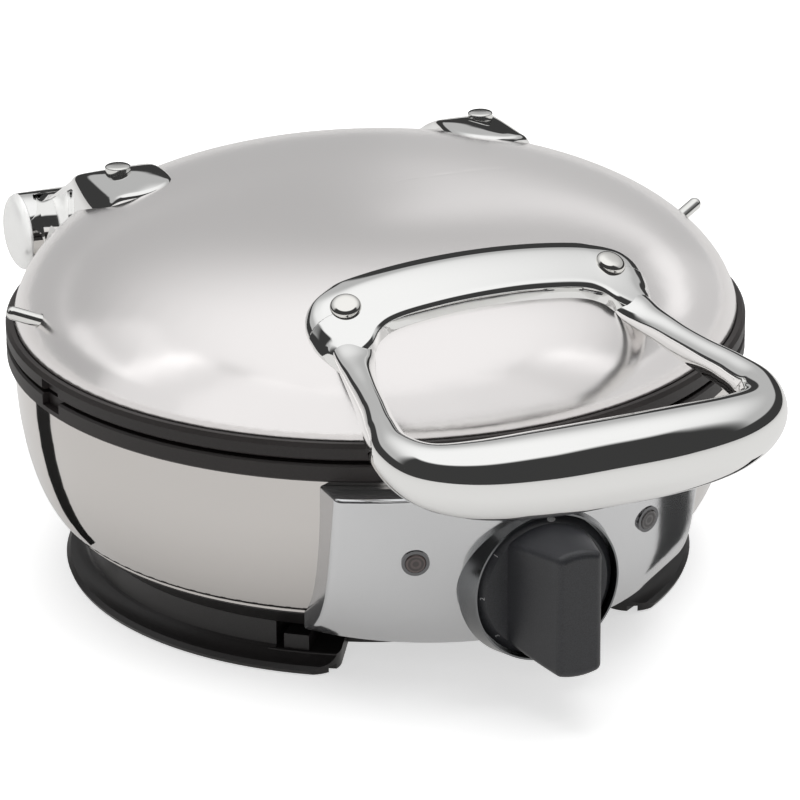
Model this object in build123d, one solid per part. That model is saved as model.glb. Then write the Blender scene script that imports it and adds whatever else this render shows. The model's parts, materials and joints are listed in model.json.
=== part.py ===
from build123d import *
from math import asin, cos, degrees, hypot, radians, sin, sqrt
import os

os.makedirs("parts", exist_ok=True)

# Round waffle maker. Millimetres, +Z up, front towards -Y.
# Every piece is drawn about the upright axis of the round body and is moved
# by body_shift when it is written, so the origin is under the middle of the
# whole object. Azimuths are degrees from the front, positive towards +X.
# Names that end in _in or _out are distances inside or outside ring_radius.

# Trim rings and the parting line
ring_radius = 148.0
ring_seat_wide = 36.0
plate_ledge = 6.0
ring_edge = 0.8
ring_thick = 5.0
ring_rim_drop = 2.2
ring_gap = 1.5
lower_ring_top = 97.6
notch_azimuth = 81.3
notch_angle = 5.0
notch_depth = 3.0
notch_height = 4.6

# Dome
dome_in = 3.54
dome_rise = 49.55
dome_round = 3.21
dome_flat = 1.69
dome_wall = 0.9
dome_base_rise = 8.65

# Bowl
bowl_in = 2.85
bowl_swell = 14.5
bowl_foot_z = 29.4
bowl_wall = 0.8
bowl_round = 2.2
bowl_flat = 1.5
bowl_floor_wide = 16.65

# Base skirt
base_lift = 0.8
flange_lip_z = 3.8
flange_top_z = 7.2
flange_wide = 8.6
neck_recess = 10.9
neck_wall = 3.0
neck_top_z = 18.0
shoulder_inset = 0.85
shoulder_edge = 1.0
skirt_top_plate = 3.0
front_gap_azimuth = 30.5
neck_end_azimuth = 42.7
core_inset = 22.9
flange_end_round = 12.0
foot_height = 3.0
foot_wide = 4.8
foot_inset = 0.1
foot_span = 14.0
foot_azimuths = (52.0, 150.0)
foot_fit = 0.2
cover_thick = 2.0
cover_z = 1.6
cover_clearance = 0.4
clip_height = 6.3
clip_deep = 14.9

# Control panel: share of its height, then where the side edges and the middle
# of the front stand outside ring_radius
panel_half_width = 76.5
panel_wall = 2.2
panel_corner = 4.0
panel_top_edge = 1.6
panel_bottom_z = 22.0
panel_top_z = 88.2
panel_stations = [
    (0.0, -42.0, -2.0),
    (0.11, -29.5, -0.4),
    (0.21, -23.3, 1.2),
    (0.37, -18.0, 3.5),
    (0.59, -14.2, 6.6),
    (0.79, -11.4, 9.0),
    (1.0, -8.6, 11.2),
]
panel_deep = 78.0
panel_fit = 0.25

# Knob
knob_z = 47.0
knob_radius = 28.2
knob_gap = 0.8
knob_edge = 3.2
knob_sink = 0.4
knob_deep = 6.2
knob_wall = 2.0
bezel_out = 12.0
bezel_rim_wide = 0.7
bezel_flare = 2.3
bezel_groove = 1.2
bezel_sleeve = 0.6
bezel_floor_deep = 7.8
bezel_floor_thick = 1.6
grip_reach = 28.8
grip_radius = 25.4
grip_base_half = 16.5
grip_front_half = 8.6
grip_round = 3.0
dot_turn = 5.0
dot_half_wide = 1.7
dot_half_tall = 1.05
dot_proud = 0.1
shaft_radius = 3.0
shaft_fit = 0.05
shaft_length = 42.0
shaft_grip = 12.0
hub_wall = 3.0
neck_bush_radius = 4.5
hole_clearance = 0.2
nut_flats = 13.0
nut_thick = 2.2

# Indicator lights
light_x = 48.1
light_z = 60.8
light_turn = 19.0
light_tilt = -6.0
lens_radius = 4.0
lens_proud = 1.4
lens_round = 0.8
lens_deep = 2.6
lens_sleeve = 0.5
lens_fit = 0.05
bezel_ring_radius = 5.3
bezel_ring_proud = 0.9
lamp_length = 7.0

# Handle: a plate on the dome and a loop in front of it
handle_out = 62.0
handle_z = 117.0
bar_half_deep = 15.5
bar_half_tall = 16.5
plate_thick = 5.5
plate_edge = 2.2
plate_front_in = 38.3
plate_back_in = 67.0
plate_straight = 40.0
plate_end = [
    (52.0, 65.0), (60.5, 62.4), (66.0, 59.0), (69.4, 53.5), (70.2, 47.5), (68.6, 41.0),
    (65.4, 34.5),
]
plate_mouth = [(62.6, 29.4), (53.0, 30.5)]
plate_inner = [(50.0, 32.6), (46.8, 35.6)]
handle_rivet_x = 53.75
handle_rivet_in = 50.5
handle_rivet_radius = 6.0
handle_rivet_tall = 3.4
rivet_shank = 2.4
rivet_upset = 1.6
rivet_play = 0.3
seat_clearance = 0.4
backing_thick = 2.0
backing_half_wide = 11.0
backing_half_long = 64.0

# Hinge
hinge_out = 18.0
hinge_z = 96.0
barrel_radius = 16.5
barrel_wall = 4.5
barrel_half = 68.0
washer_thick = 1.0
washer_inset = 0.7
hinge_play = 0.4
knuckle_end = 93.0
cap_reach = 5.5
hinge_shaft_radius = 5.0
hinge_fit = 0.06
bush_length = 11.0
arm_inner_x = 56.0
arm_rivet_x = 80.8
arm_rivet_in = 73.4
arm_rivet_radius = 5.2
arm_rivet_tall = 3.4
arm_rivet_seat = 43.15
arm_backing_depth = 4.0
arm_backing_radius = 13.0
bracket_half = 48.0
bracket_bolt_x = 30.0
bracket_bolt_z = (56.0, 78.0)

# Side view of a hinge arm: (distance in front of the hinge axis, height above
# the dome's base), along the top and back along the underside
arm_top = [
    (123.5, 40.8), (119.0, 43.6), (113.0, 45.2), (104.0, 45.6), (94.0, 45.0), (84.0, 42.4),
    (72.0, 37.6), (60.0, 31.9), (42.0, 22.8), (26.0, 14.4), (14.0, 8.8),
]
arm_under = [
    (14.0, -15.25), (20.0, -6.25), (26.0, 0.4), (42.0, 1.4), (55.0, 9.3), (71.0, 17.8),
    (80.0, 19.8), (123.5, 13.8),
]

# Front view of a hinge arm: (distance outside arm_inner_x, height above the
# dome's base), from its inner side to its outer side
arm_cross = [
    (4.5, 40.8), (7.5, 43.4), (12.0, 45.2), (18.0, 45.4), (24.8, 43.6), (31.0, 41.0),
    (36.0, 38.2), (41.5, 33.8),
]

# Plan of a hinge arm: (distance outside arm_inner_x, distance in front of the
# hinge axis), round the pad from its inner to its outer side
arm_plan_points = [
    (8.5, 66.0), (8.0, 78.0), (6.6, 88.0), (5.8, 96.0), (6.0, 104.0), (8.2, 111.0), (12.5, 116.5),
    (19.0, 119.6), (27.0, 119.6), (34.0, 117.0), (39.0, 112.5), (41.0, 106.0), (41.0, 94.0),
    (39.0, 76.0), (35.5, 60.0), (33.5, 42.0), (32.0, 22.0),
]

# Side pins of the dome
pin_radius = 2.7
pin_z = 118.6
pin_y = 6.5
pin_length = 12.0
pin_inside = 5.0

# Waffle plates
plate_fit = 0.4
plate_rim = 3.0
plate_floor = 3.0
cavity_depth = 12.6
cavity_in = 55.5
cavity_draft = 3.0
peg_height = 9.0
peg_base = 10.6
peg_taper = 9.0
peg_pitch = 16.25
rib_width = 5.0
rib_taper = 8.0
rib_height = 11.0
groove_depth = 1.5
groove_land = 4.5
boss_radius = 4.5
boss_place = 59.5

# Heating elements and shields
element_ring = 62.0
element_radius = 3.25
element_gap_angle = 40.0
element_leg = 19.0
element_play = 0.05
element_clearance = 1.2
clip_wall = 1.2
clip_half_wide = 5.0
clip_play = 0.3
clip_azimuths = (80.0, 180.0, 280.0)
shield_wall_in = 30.0
shield_flange_in = 10.0
shield_thick = 0.8
shield_drop = 16.0
screw_radius = 1.5
screw_head_radius = 3.0
screw_head_tall = 2.0
screw_play = 0.06
ring_screw_depth = 3.6
ring_screw_length = 5.0
plate_screw_length = 12.0

# Inside the base
thermostat_wide = 36.0
thermostat_tall = 28.0
thermostat_deep = 24.0
thermostat_in = 28.0
spacer_radius = 8.0
window_half = 40.0
window_low = 31.0
window_high = 79.0
inlet_azimuth = 152.0
inlet_z = 46.0
inlet_bore = 3.6
inlet_neck = 6.0
inlet_flange = 9.0
inlet_flange_thick = 2.7
inlet_inside = 6.0
inlet_tail = 9.0
inlet_play = 0.05
terminal_y = 52.0
terminal_deep = 16.0
terminal_tall = 14.0
terminal_margin = 10.0
terminal_slot = 6.0
lead_radius = 1.3
lead_spread = 12.0
lead_bends = (20.0, 24.0, 12.0)
sensor_radius = 8.0
sensor_tall = 6.0
strap_thick = 1.2
fuse_y = 30.0
fuse_radius = 2.0
fuse_half = 12.0

# How far a shape runs into the one it is joined to
join = 0.5

# Derived sizes
ring_inner = ring_radius - ring_seat_wide
ring_ledge_inner = ring_inner - plate_ledge
dome_radius = ring_radius - dome_in
bowl_top_radius = ring_radius - bowl_in
bowl_foot_radius = bowl_top_radius - bowl_swell
bowl_floor_hole = bowl_foot_radius - bowl_floor_wide
shoulder_radius = bowl_foot_radius - shoulder_inset
neck_radius = shoulder_radius - neck_recess
flange_radius = neck_radius + flange_wide
core_radius = neck_radius - core_inset
foot_inner_radius = neck_radius - foot_inset
plate_radius = ring_inner - plate_fit
cavity_radius = ring_radius - cavity_in
shield_radius = ring_radius - shield_wall_in
shield_flange = ring_radius - shield_flange_in
upper_ring_bottom = lower_ring_top + ring_gap
parting_z = lower_ring_top + ring_gap / 2
lower_ring_bottom = lower_ring_top - ring_thick - ring_rim_drop
dome_base_z = lower_ring_top + dome_base_rise
dome_seat_z = upper_ring_bottom + ring_thick
bezel_rim_y = ring_radius + bezel_out
bezel_bore = knob_radius + knob_gap
bezel_rim_radius = bezel_bore + bezel_rim_wide
bezel_root_radius = bezel_rim_radius + bezel_flare
bezel_floor_y = bezel_rim_y - bezel_floor_deep
knob_face_y = bezel_rim_y - knob_sink
knob_back_y = knob_face_y - knob_deep
thermostat_back_y = ring_radius - thermostat_in
handle_front = ring_radius + handle_out
handle_rivet_y = -(ring_radius - handle_rivet_in)
hinge_y = ring_radius + hinge_out
arm_rivet_y = ring_radius - arm_rivet_in
arm_rivet_seat_z = dome_base_z + arm_rivet_seat
hinge_reach = hinge_y + barrel_radius
handle_reach = handle_front + bar_half_deep
body_shift = (handle_reach - hinge_reach) / 2
knuckle_start = barrel_half + washer_thick + hinge_play
skirt_top_z = bowl_foot_z - bowl_wall
neck_inner = neck_radius - neck_wall
reach_past = 2 * ring_radius


def turned(points):
    """A solid turned about Z from a closed outline of (radius, height) points."""
    outline = Polyline([(r, 0, z) for r, z in points], close=True)
    return revolve(make_face(outline), Axis.Z)


def wedge(start, end, r0, r1, z0, z1):
    """A block between two azimuths, two radii and two heights."""
    corners = [(r0, 0, z0), (r1, 0, z0), (r1, 0, z1), (r0, 0, z1)]
    face = make_face(Polyline(corners, close=True))
    return Rot(0, 0, start - 90) * revolve(face, Axis.Z, revolution_arc=end - start)


def both_sides(shape):
    """The shape and its mirror image across the middle plane."""
    return [shape, mirror(shape, Plane.YZ)]


def at_azimuth(radius, azimuth, z):
    """The point at a radius and an azimuth."""
    return (radius * sin(radians(azimuth)), -radius * cos(radians(azimuth)), z)


def rod(start, end, radius):
    """A round bar from one point to another."""
    axis = Vector(*end) - Vector(*start)
    plane = Plane(origin=start, z_dir=axis)
    return extrude(plane * Circle(radius), amount=axis.length)


def block(x0, x1, y0, y1, z0, z1):
    """A box between its low and high corners."""
    centre = ((x0 + x1) / 2, (y0 + y1) / 2, (z0 + z1) / 2)
    return Pos(*centre) * Box(x1 - x0, y1 - y0, z1 - z0)


def group(shapes):
    """Separate solids of one kind, kept together as one node."""
    solids = []
    for shape in shapes:
        solids.extend(shape.solids())
    return Compound(children=solids)


def save(shape, node):
    """Write one node at its place in the whole object's frame."""
    export_step(Pos(0, body_shift, 0) * shape, f"parts/{node}.step")


def dome_height(r):
    """Height of the dome's outer face at a radius."""
    x = min(r / dome_radius, 1.0)
    return dome_base_z + dome_rise * (1 - x**dome_round) ** (1 / dome_flat)


def dome_points(offset):
    """Points along the dome's face from the top to the rim, moved out by offset."""
    points = [(0.0, dome_base_z + dome_rise + offset)]
    count = 12
    for k in range(1, count + 1):
        angle = radians(90) * k / count
        x = sin(angle) ** (2 / dome_round)
        y = (1 - x**dome_round) ** (1 / dome_flat) if k < count else 0.0
        slope_r = dome_round * x ** (dome_round - 1) / dome_radius
        slope_z = dome_flat * max(y, 0.0) ** (dome_flat - 1) / dome_rise
        size = hypot(slope_r, slope_z)
        r = dome_radius * x + offset * slope_r / size
        z = dome_base_z + dome_rise * y + offset * slope_z / size
        points.append((r, z))
    return points


def dome_volume(offset, floor_z):
    """The dome filled solid down to floor_z, its face moved out by offset."""
    points = dome_points(offset)
    face_line = Spline([(r, 0, z) for r, z in points], tangents=[(1, 0, 0), (0, 0, -1)])
    rim = points[-1]
    rest = Polyline([(rim[0], 0, rim[1]), (rim[0], 0, floor_z), (0, 0, floor_z), (0, 0, points[0][1])])
    return revolve(make_face(face_line + rest), Axis.Z)


def dome_plane(x, y, lift=0.0):
    """A plane that touches the dome's face over (x, y), its Z along the outward normal."""
    r = hypot(x, y)
    step = 0.01
    slope = (dome_height(r + step) - dome_height(r - step)) / (2 * step)
    normal = Vector(-slope * x / r, -slope * y / r, 1).normalized()
    spot = Vector(x, y, dome_height(r)) + normal * lift
    return Plane(origin=spot, z_dir=normal)


def bowl_points(offset):
    """Points up the bowl's outer face, moved out by offset."""
    count = 8
    rise = lower_ring_bottom - bowl_foot_z
    swell = bowl_top_radius - bowl_foot_radius
    points = []
    for k in range(count + 1):
        angle = radians(90) * (1 - k / count)
        s = sin(angle) ** (2 / bowl_round)
        r = bowl_foot_radius + swell * max(0.0, 1 - s**bowl_round) ** (1 / bowl_flat)
        points.append((r + offset, lower_ring_bottom - rise * s))
    return points


def bowl_volume(offset, bottom_z):
    """The bowl filled solid down to bottom_z, its face moved out by offset."""
    points = bowl_points(offset)
    face_line = Spline([(r, 0, z) for r, z in points])
    foot = points[0]
    top = points[-1]
    corners = [(top[0], 0, top[1]), (0, 0, top[1]), (0, 0, bottom_z), (foot[0], 0, bottom_z)]
    if bottom_z < foot[1]:
        corners.append((foot[0], 0, foot[1]))
    return revolve(make_face(face_line + Polyline(corners)), Axis.Z)


def make_bowl():
    """Thin polished bowl with an inward floor, a window behind the panel and an inlet hole."""
    inside = bowl_volume(-bowl_wall, bowl_foot_z)
    shell = bowl_volume(0, bowl_foot_z - bowl_wall) - inside
    shell -= Cylinder(bowl_floor_hole, 4 * bowl_foot_z)
    shell -= block(-window_half, window_half, -ring_radius, -core_radius, window_low, window_high)
    spot = at_azimuth(core_radius, inlet_azimuth, inlet_z)
    past = at_azimuth(ring_radius, inlet_azimuth, inlet_z)
    shell -= rod(spot, past, inlet_neck + hole_clearance)
    for x, z in bracket_bolts():
        shell -= rod((x, core_radius, z), (x, ring_radius, z), screw_radius + hole_clearance)
    return shell


def make_skirt():
    """Black base: flange, narrow neck for the cord and a shoulder under the bowl."""
    lip = flange_radius - 1.6
    flange_curve = ThreePointArc(
        (lip, 0, flange_lip_z),
        ((lip + neck_radius) / 2 + 0.4, 0, (flange_lip_z + flange_top_z) / 2 - 0.7),
        (neck_radius + 0.7, 0, flange_top_z),
    )
    recess_in = foot_inner_radius - foot_fit
    recess_out = foot_inner_radius + foot_wide + foot_fit
    outline = Polyline(
        [
            (neck_radius + 0.7, 0, flange_top_z),
            (neck_radius, 0, flange_top_z + 1),
            (neck_radius, 0, neck_top_z),
            (shoulder_radius, 0, skirt_top_z - shoulder_edge),
            (shoulder_radius, 0, skirt_top_z),
            (bowl_floor_hole - 1, 0, skirt_top_z),
            (bowl_floor_hole - 1, 0, skirt_top_z - skirt_top_plate),
            (neck_inner, 0, skirt_top_z - skirt_top_plate),
            (neck_inner, 0, base_lift),
            (recess_in, 0, base_lift),
            (recess_in, 0, foot_height),
            (recess_out, 0, foot_height),
            (recess_out, 0, base_lift),
            (flange_radius - 0.5, 0, base_lift),
            (flange_radius, 0, base_lift + 1.4),
            (lip, 0, flange_lip_z),
        ]
    )
    skirt = revolve(make_face(outline + flange_curve), Axis.Z)
    gap = front_gap_azimuth
    end = neck_end_azimuth
    skirt -= wedge(-end, end, neck_inner - 1, neck_radius + 0.8, -1, neck_top_z)
    skirt -= wedge(-gap, gap, core_radius - 6, flange_radius + 6, -1, neck_top_z)
    core_inner = core_radius - neck_wall
    wall_angle = degrees(neck_wall / neck_radius)
    for side in (-1, 1):
        lo, hi = sorted((side * gap, side * (end + wall_angle)))
        skirt += wedge(lo, hi, core_inner, neck_radius + 1.5, base_lift, flange_top_z - 0.2)
        lo, hi = sorted((side * end, side * (end + wall_angle)))
        skirt += wedge(lo, hi, core_inner, neck_radius, base_lift, skirt_top_z - skirt_top_plate)
    far = end + wall_angle
    skirt += wedge(-far, far, core_inner, core_radius, base_lift, skirt_top_z)
    skirt += wedge(-far, far, core_inner, neck_radius, skirt_top_z - skirt_top_plate, skirt_top_z)
    for boss in cover_bosses():
        skirt += Pos(boss[0], boss[1], 0) * extrude(
            Pos(0, 0, cover_z + cover_thick) * Circle(4.0),
            amount=skirt_top_z - cover_z - cover_thick - 0.5,
        )
        skirt -= Pos(boss[0], boss[1], cover_z) * extrude(Circle(screw_radius + screw_play), amount=16)
    for side in (-1, 1):
        skirt -= flange_end_cutter(side)
    return skirt


def flange_end_cutter(side):
    """What rounds the outer corner of one front end of the flange."""
    reach = flange_radius - flange_end_round
    turn = degrees(asin(flange_end_round / reach))
    azimuth = front_gap_azimuth + turn
    near = sqrt(reach**2 - flange_end_round**2)
    corner = wedge(
        min(side * (front_gap_azimuth - 1), side * azimuth),
        max(side * (front_gap_azimuth - 1), side * azimuth),
        near,
        flange_radius + 4,
        -1,
        flange_top_z + 2,
    )
    x, y, z = at_azimuth(reach, side * azimuth, -2)
    return corner - Pos(x, y, z) * extrude(Circle(flange_end_round), amount=30)


def cover_bosses():
    """Centres of the four screws of the bottom cover."""
    place = neck_inner - 4.5
    return [at_azimuth(place, a, 0) for a in (-115, -60, 60, 115)]


def make_cover():
    """Plate that closes the base from below."""
    radius = neck_inner - cover_clearance
    cover = Pos(0, 0, cover_z) * extrude(Circle(radius), amount=cover_thick)
    wall_angle = degrees(neck_wall / neck_radius) + 0.6
    far = neck_end_azimuth + wall_angle
    front = core_radius - neck_wall - cover_clearance
    cover -= wedge(-far, far, front, radius + 5, 0, 2 * cover_thick + cover_z)
    for x, y, z in cover_bosses():
        cover -= Pos(x, y, 0) * extrude(Circle(screw_radius + hole_clearance), amount=8)
    return cover


def make_cover_screws():
    """Four pan-head screws that hold the bottom cover."""
    screws = []
    for x, y, z in cover_bosses():
        head = Pos(x, y, 0.5) * extrude(Circle(screw_head_radius - 0.2), amount=cover_z - 0.5)
        screws.append(head + Pos(x, y, 0.5) * extrude(Circle(screw_radius), amount=14))
    return group(screws)


def make_feet():
    """Four curved rubber pads in the flange's recess."""
    pads = []
    half = foot_span / 2
    outer = foot_inner_radius + foot_wide
    for middle in foot_azimuths:
        pad = wedge(middle - half, middle + half, foot_inner_radius, outer, 0, foot_height)
        pads.extend(both_sides(pad))
    return group(pads)


def make_cord_clips():
    """Two blocks that grip the cord's ends where the winding neck stops."""
    low = flange_top_z - 0.2
    inner = neck_radius - clip_deep
    clip = wedge(neck_end_azimuth - 6.3, neck_end_azimuth - 1.5, inner, neck_radius, low, low + clip_height)
    return group(both_sides(clip))


def ring_notches(low_z, high_z):
    """The two square recesses in the side of a trim ring."""
    start = notch_azimuth - notch_angle / 2
    notch = wedge(start, start + notch_angle, ring_radius - notch_depth, ring_radius + 2, low_z, high_z)
    return both_sides(notch)


def make_lower_ring():
    """Black ring that joins the bowl and carries the lower plate."""
    top = lower_ring_top
    skirt_out = bowl_top_radius - bowl_wall - 1.15
    ring = turned(
        [
            (ring_inner, top),
            (ring_radius - ring_edge, top),
            (ring_radius, top - ring_edge),
            (ring_radius, lower_ring_bottom + ring_edge),
            (ring_radius - ring_edge, lower_ring_bottom),
            (skirt_out, lower_ring_bottom),
            (skirt_out, lower_ring_bottom - 3),
            (skirt_out - 2, lower_ring_bottom - 3),
            (skirt_out - 2, top - ring_thick),
            (ring_ledge_inner, top - ring_thick),
            (ring_ledge_inner, top - plate_rim),
            (ring_inner, top - plate_rim),
        ]
    )
    for notch in ring_notches(top - notch_height, top + 1):
        ring -= notch
    for x, y in ring_screw_places():
        hole = extrude(Circle(screw_radius + screw_play), amount=ring_screw_depth)
        ring -= Pos(x, y, top - ring_thick) * hole
    return ring


def make_upper_ring():
    """Black ring that holds the dome's edge and the upper plate."""
    low = upper_ring_bottom
    seat = dome_seat_z
    ring = turned(
        [
            (ring_inner, low),
            (ring_radius - ring_edge, low),
            (ring_radius, low + ring_edge),
            (ring_radius, seat),
            (ring_radius - 1.2, seat + 1.6),
            (dome_radius + 0.45, seat + 1.6),
            (dome_radius + 0.45, seat),
            (ring_ledge_inner, seat),
            (ring_ledge_inner, low + plate_rim),
            (ring_inner, low + plate_rim),
        ]
    )
    for notch in ring_notches(low - 1, low + notch_height):
        ring -= notch
    for x, y in ring_screw_places():
        hole = extrude(Circle(screw_radius + screw_play), amount=ring_screw_depth)
        ring -= Pos(x, y, seat - ring_screw_depth) * hole
    return ring


def ring_screw_places():
    """Places of the six screws that clamp a shield under its ring."""
    middle = (shield_radius + shield_flange) / 2
    return [at_azimuth(middle, 30 + 60 * k, 0)[:2] for k in range(6)]


def peg(x, y, floor_z):
    """One square tapered peg of the waffle grid."""
    foot = Pos(x, y, floor_z - join) * Rectangle(peg_base, peg_base)
    return extrude(foot, amount=peg_height + join, taper=peg_taper)


def rib(length, turn, floor_z):
    """One tapered rib that divides the waffle."""
    foot = Pos(0, 0, floor_z - join) * Rot(0, 0, turn) * Rectangle(length, rib_width)
    return extrude(foot, amount=rib_height + join, taper=rib_taper)


def make_plate():
    """Lower waffle plate: rim, overflow groove, cavity, pegs, cross ribs and bosses."""
    top = lower_ring_top
    floor_z = top - cavity_depth
    under = floor_z - plate_floor
    groove_in = cavity_radius + groove_land
    groove_out = ring_ledge_inner - join
    plate = turned(
        [
            (0, under),
            (cavity_radius, under),
            (cavity_radius + 3, top - plate_rim),
            (plate_radius, top - plate_rim),
            (plate_radius, top),
            (groove_out + 1, top),
            (groove_out, top - groove_depth),
            (groove_in + 1, top - groove_depth),
            (groove_in, top),
            (cavity_radius, top),
            (cavity_radius - cavity_draft, floor_z),
            (0, floor_z),
        ]
    )
    pegs = []
    places = [0.5 * rib_width + 0.5 * peg_pitch + peg_pitch * k for k in range(6)]
    limit = cavity_radius - cavity_draft - 3
    for px in places:
        for py in places:
            if hypot(px, py) + 0.5 * peg_base < limit:
                for sx in (-1, 1):
                    pegs.extend(peg(sx * px, sy * py, floor_z) for sy in (-1, 1))
    inner = 2 * (cavity_radius - join)
    plate += pegs
    plate += [rib(inner, 0, floor_z), rib(inner, 90, floor_z)]
    floor_of_shield = shield_floor_z() + shield_thick
    for x, y in boss_places():
        spot = Pos(x, y, floor_of_shield)
        plate += spot * extrude(Circle(boss_radius), amount=under - floor_of_shield + join)
        plate -= spot * extrude(Circle(screw_radius + screw_play), amount=plate_screw_length)
    return plate


def plate_under_z():
    """Height of the lower plate's underside."""
    return lower_ring_top - cavity_depth - plate_floor


def shield_floor_z():
    """Height of the lower shield's underside."""
    return plate_under_z() - shield_drop


def make_shield():
    """Thin pan that keeps the heat off the bowl."""
    low = shield_floor_z()
    top = lower_ring_top - ring_thick
    pan = turned(
        [
            (0, low),
            (shield_radius, low),
            (shield_radius, top - shield_thick),
            (shield_flange, top - shield_thick),
            (shield_flange, top),
            (shield_radius - shield_thick, top),
            (shield_radius - shield_thick, low + shield_thick),
            (0, low + shield_thick),
        ]
    )
    hole = extrude(Circle(screw_radius + hole_clearance), amount=2 * shield_thick)
    for x, y in boss_places():
        pan -= Pos(x, y, low - shield_thick / 2) * hole
    for x, y in ring_screw_places():
        pan -= Pos(x, y, top - 1.5 * shield_thick) * hole
    slot = extrude(Circle(element_radius + element_clearance), amount=2 * shield_thick)
    for x, y in element_ends():
        pan -= Pos(x, y, low - shield_thick / 2) * slot
    return pan


def element_ends():
    """Places of the two legs of a heating element."""
    half = element_gap_angle / 2
    return [at_azimuth(element_ring, side * half, 0)[:2] for side in (-1, 1)]


def make_element():
    """Round tubular heater under the plate, open at the front, with two legs down."""
    centre_z = plate_under_z() - element_radius - element_play
    disc = Plane(origin=(element_ring, 0, centre_z), z_dir=(0, 1, 0)) * Circle(element_radius)
    sweep_angle = 360 - element_gap_angle
    tube = revolve(disc, Axis.Z, revolution_arc=sweep_angle)
    tube = Rot(0, 0, -90 + element_gap_angle / 2) * tube
    for x, y in element_ends():
        tube += Pos(x, y, centre_z) * Sphere(element_radius)
        tube += Pos(x, y, centre_z - element_leg) * extrude(Circle(element_radius), amount=element_leg)
    return tube


def make_element_clips():
    """Three straps that hold the heater against the plate."""
    under = plate_under_z()
    inside = element_radius + clip_play
    outside = inside + clip_wall
    long = clip_half_wide
    low = under - 2 * (element_radius + element_play)
    clips = []
    for azimuth in clip_azimuths:
        strap = block(-long, long, -outside, outside, low - clip_wall, under)
        strap -= block(-long - 1, long + 1, -inside, inside, low, under + 1)
        x, y, z = at_azimuth(element_ring, azimuth, 0)
        clips.append(Pos(x, y, 0) * Rot(0, 0, azimuth) * strap)
    return group(clips)


def screw_up(x, y, seat_z, length):
    """Pan-head screw that points up, its head under seat_z."""
    head = Pos(x, y, seat_z - screw_head_tall) * extrude(Circle(screw_head_radius), amount=screw_head_tall)
    shank = Pos(x, y, seat_z - screw_head_tall / 2) * extrude(Circle(screw_radius), amount=length)
    return head + shank


def boss_places():
    """Places of the plate's four bosses."""
    return [(sx * boss_place, sy * boss_place) for sx in (-1, 1) for sy in (-1, 1)]


def make_plate_screws():
    """Four screws up through the shield into the plate's bosses."""
    seat_z = shield_floor_z()
    return group([screw_up(x, y, seat_z, plate_screw_length) for x, y in boss_places()])


def make_ring_screws():
    """Six screws that clamp the shield's flange under the ring."""
    seat_z = lower_ring_top - ring_thick - shield_thick
    return group([screw_up(x, y, seat_z, ring_screw_length) for x, y in ring_screw_places()])


def to_lid(shape):
    """The mirror image of a base piece across the parting plane."""
    return mirror(shape, Plane.XY.offset(parting_z))


def make_dome():
    """Thin polished dome with holes for its rivets and pins."""
    shell = dome_volume(0, dome_seat_z) - dome_volume(-dome_wall, dome_seat_z - 1)
    for hole in lid_holes():
        shell -= hole
    return shell


def lid_holes():
    """Round holes for the rivets and side pins, along their own axes."""
    holes = []
    for plane in (handle_rivet_plane(), arm_rivet_plane()):
        holes.extend(both_sides(extrude(plane.offset(-20) * Circle(rivet_shank + hole_clearance), amount=40)))
    start, end = pin_line(-pin_inside - 2, pin_length)
    holes.extend(both_sides(rod(start, end, pin_radius + hole_clearance)))
    return holes


def pin_line(back, out):
    """Two points on a side pin's axis, measured from where it leaves the dome."""
    low, high = 100.0, dome_radius
    while high - low > 0.001:
        middle = (low + high) / 2
        low, high = (middle, high) if dome_height(middle) > pin_z else (low, middle)
    root = Vector(sqrt(low**2 - pin_y**2), pin_y, pin_z)
    along = Vector(0.86, 0.37, 0.30).normalized()
    first = root + along * back
    last = root + along * out
    return tuple(first), tuple(last)


def make_pin():
    """Right-hand side pin: a short rod with a rounded tip and a collar inside the dome."""
    start, end = pin_line(-pin_inside, pin_length - pin_radius * 0.6)
    pin = rod(start, end, pin_radius)
    tip = Pos(*end) * Sphere(pin_radius)
    return pin + tip


def loop_stations():
    """Half of the handle's loop: (centre, half width in its plane, half height)."""
    deep, tall = bar_half_deep, bar_half_tall
    front, z = -handle_front, handle_z
    return [
        ((0.0, front, z), deep, tall),
        ((26.0, front + 0.5, z + 0.1), deep - 0.2, tall - 0.2),
        ((50.0, front + 3.4, z + 0.8), deep - 1.9, tall - 1.6),
        ((66.0, front + 11.0, z + 2.4), deep - 4.6, tall - 4.1),
        ((72.8, front + 24.5, z + 5.4), deep - 7.3, tall - 6.7),
        ((71.2, front + 40.0, z + 8.0), deep - 8.9, tall - 8.7),
        ((67.4, front + 56.0, z + 9.6), deep - 9.6, tall - 9.7),
        ((63.0, front + 72.0, z + 11.3), deep - 9.9, tall - 10.4),
        ((58.2, front + 86.0, z + 13.7), deep - 10.1, tall - 10.9),
        ((53.5, front + 99.0, z + 17.0), deep - 10.4, tall - 11.4),
    ]


def make_handle():
    """Cast handle: a curved plate on the dome and a thick loop in front of it."""
    half = loop_stations()
    whole = [((-c[0], c[1], c[2]), a, b) for c, a, b in half[:0:-1]] + half
    sections = []
    for k, (centre, wide, tall) in enumerate(whole):
        before = Vector(*whole[max(k - 1, 0)][0])
        after = Vector(*whole[min(k + 1, len(whole) - 1)][0])
        along = (after - before).normalized()
        up = Vector(0, -sin(radians(25)), cos(radians(25)))
        across = up.cross(along).normalized()
        plane = Plane(origin=centre, x_dir=across, z_dir=along)
        sections.append(plane * Ellipse(wide, tall))
    loop = loft(sections)
    plate = extrude(Plane.XY.offset(dome_seat_z) * plate_outline(), amount=dome_rise + 2 * plate_thick)
    plate &= dome_volume(plate_thick, dome_seat_z)
    top = plate.faces().sort_by(Axis.Z)[-1]
    plate = fillet(top.edges(), plate_edge)
    handle = loop + plate - dome_volume(0, dome_seat_z)
    for hole in rivet_cuts(handle_rivet_plane(), handle_rivet_radius):
        handle -= hole
    return handle


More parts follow.
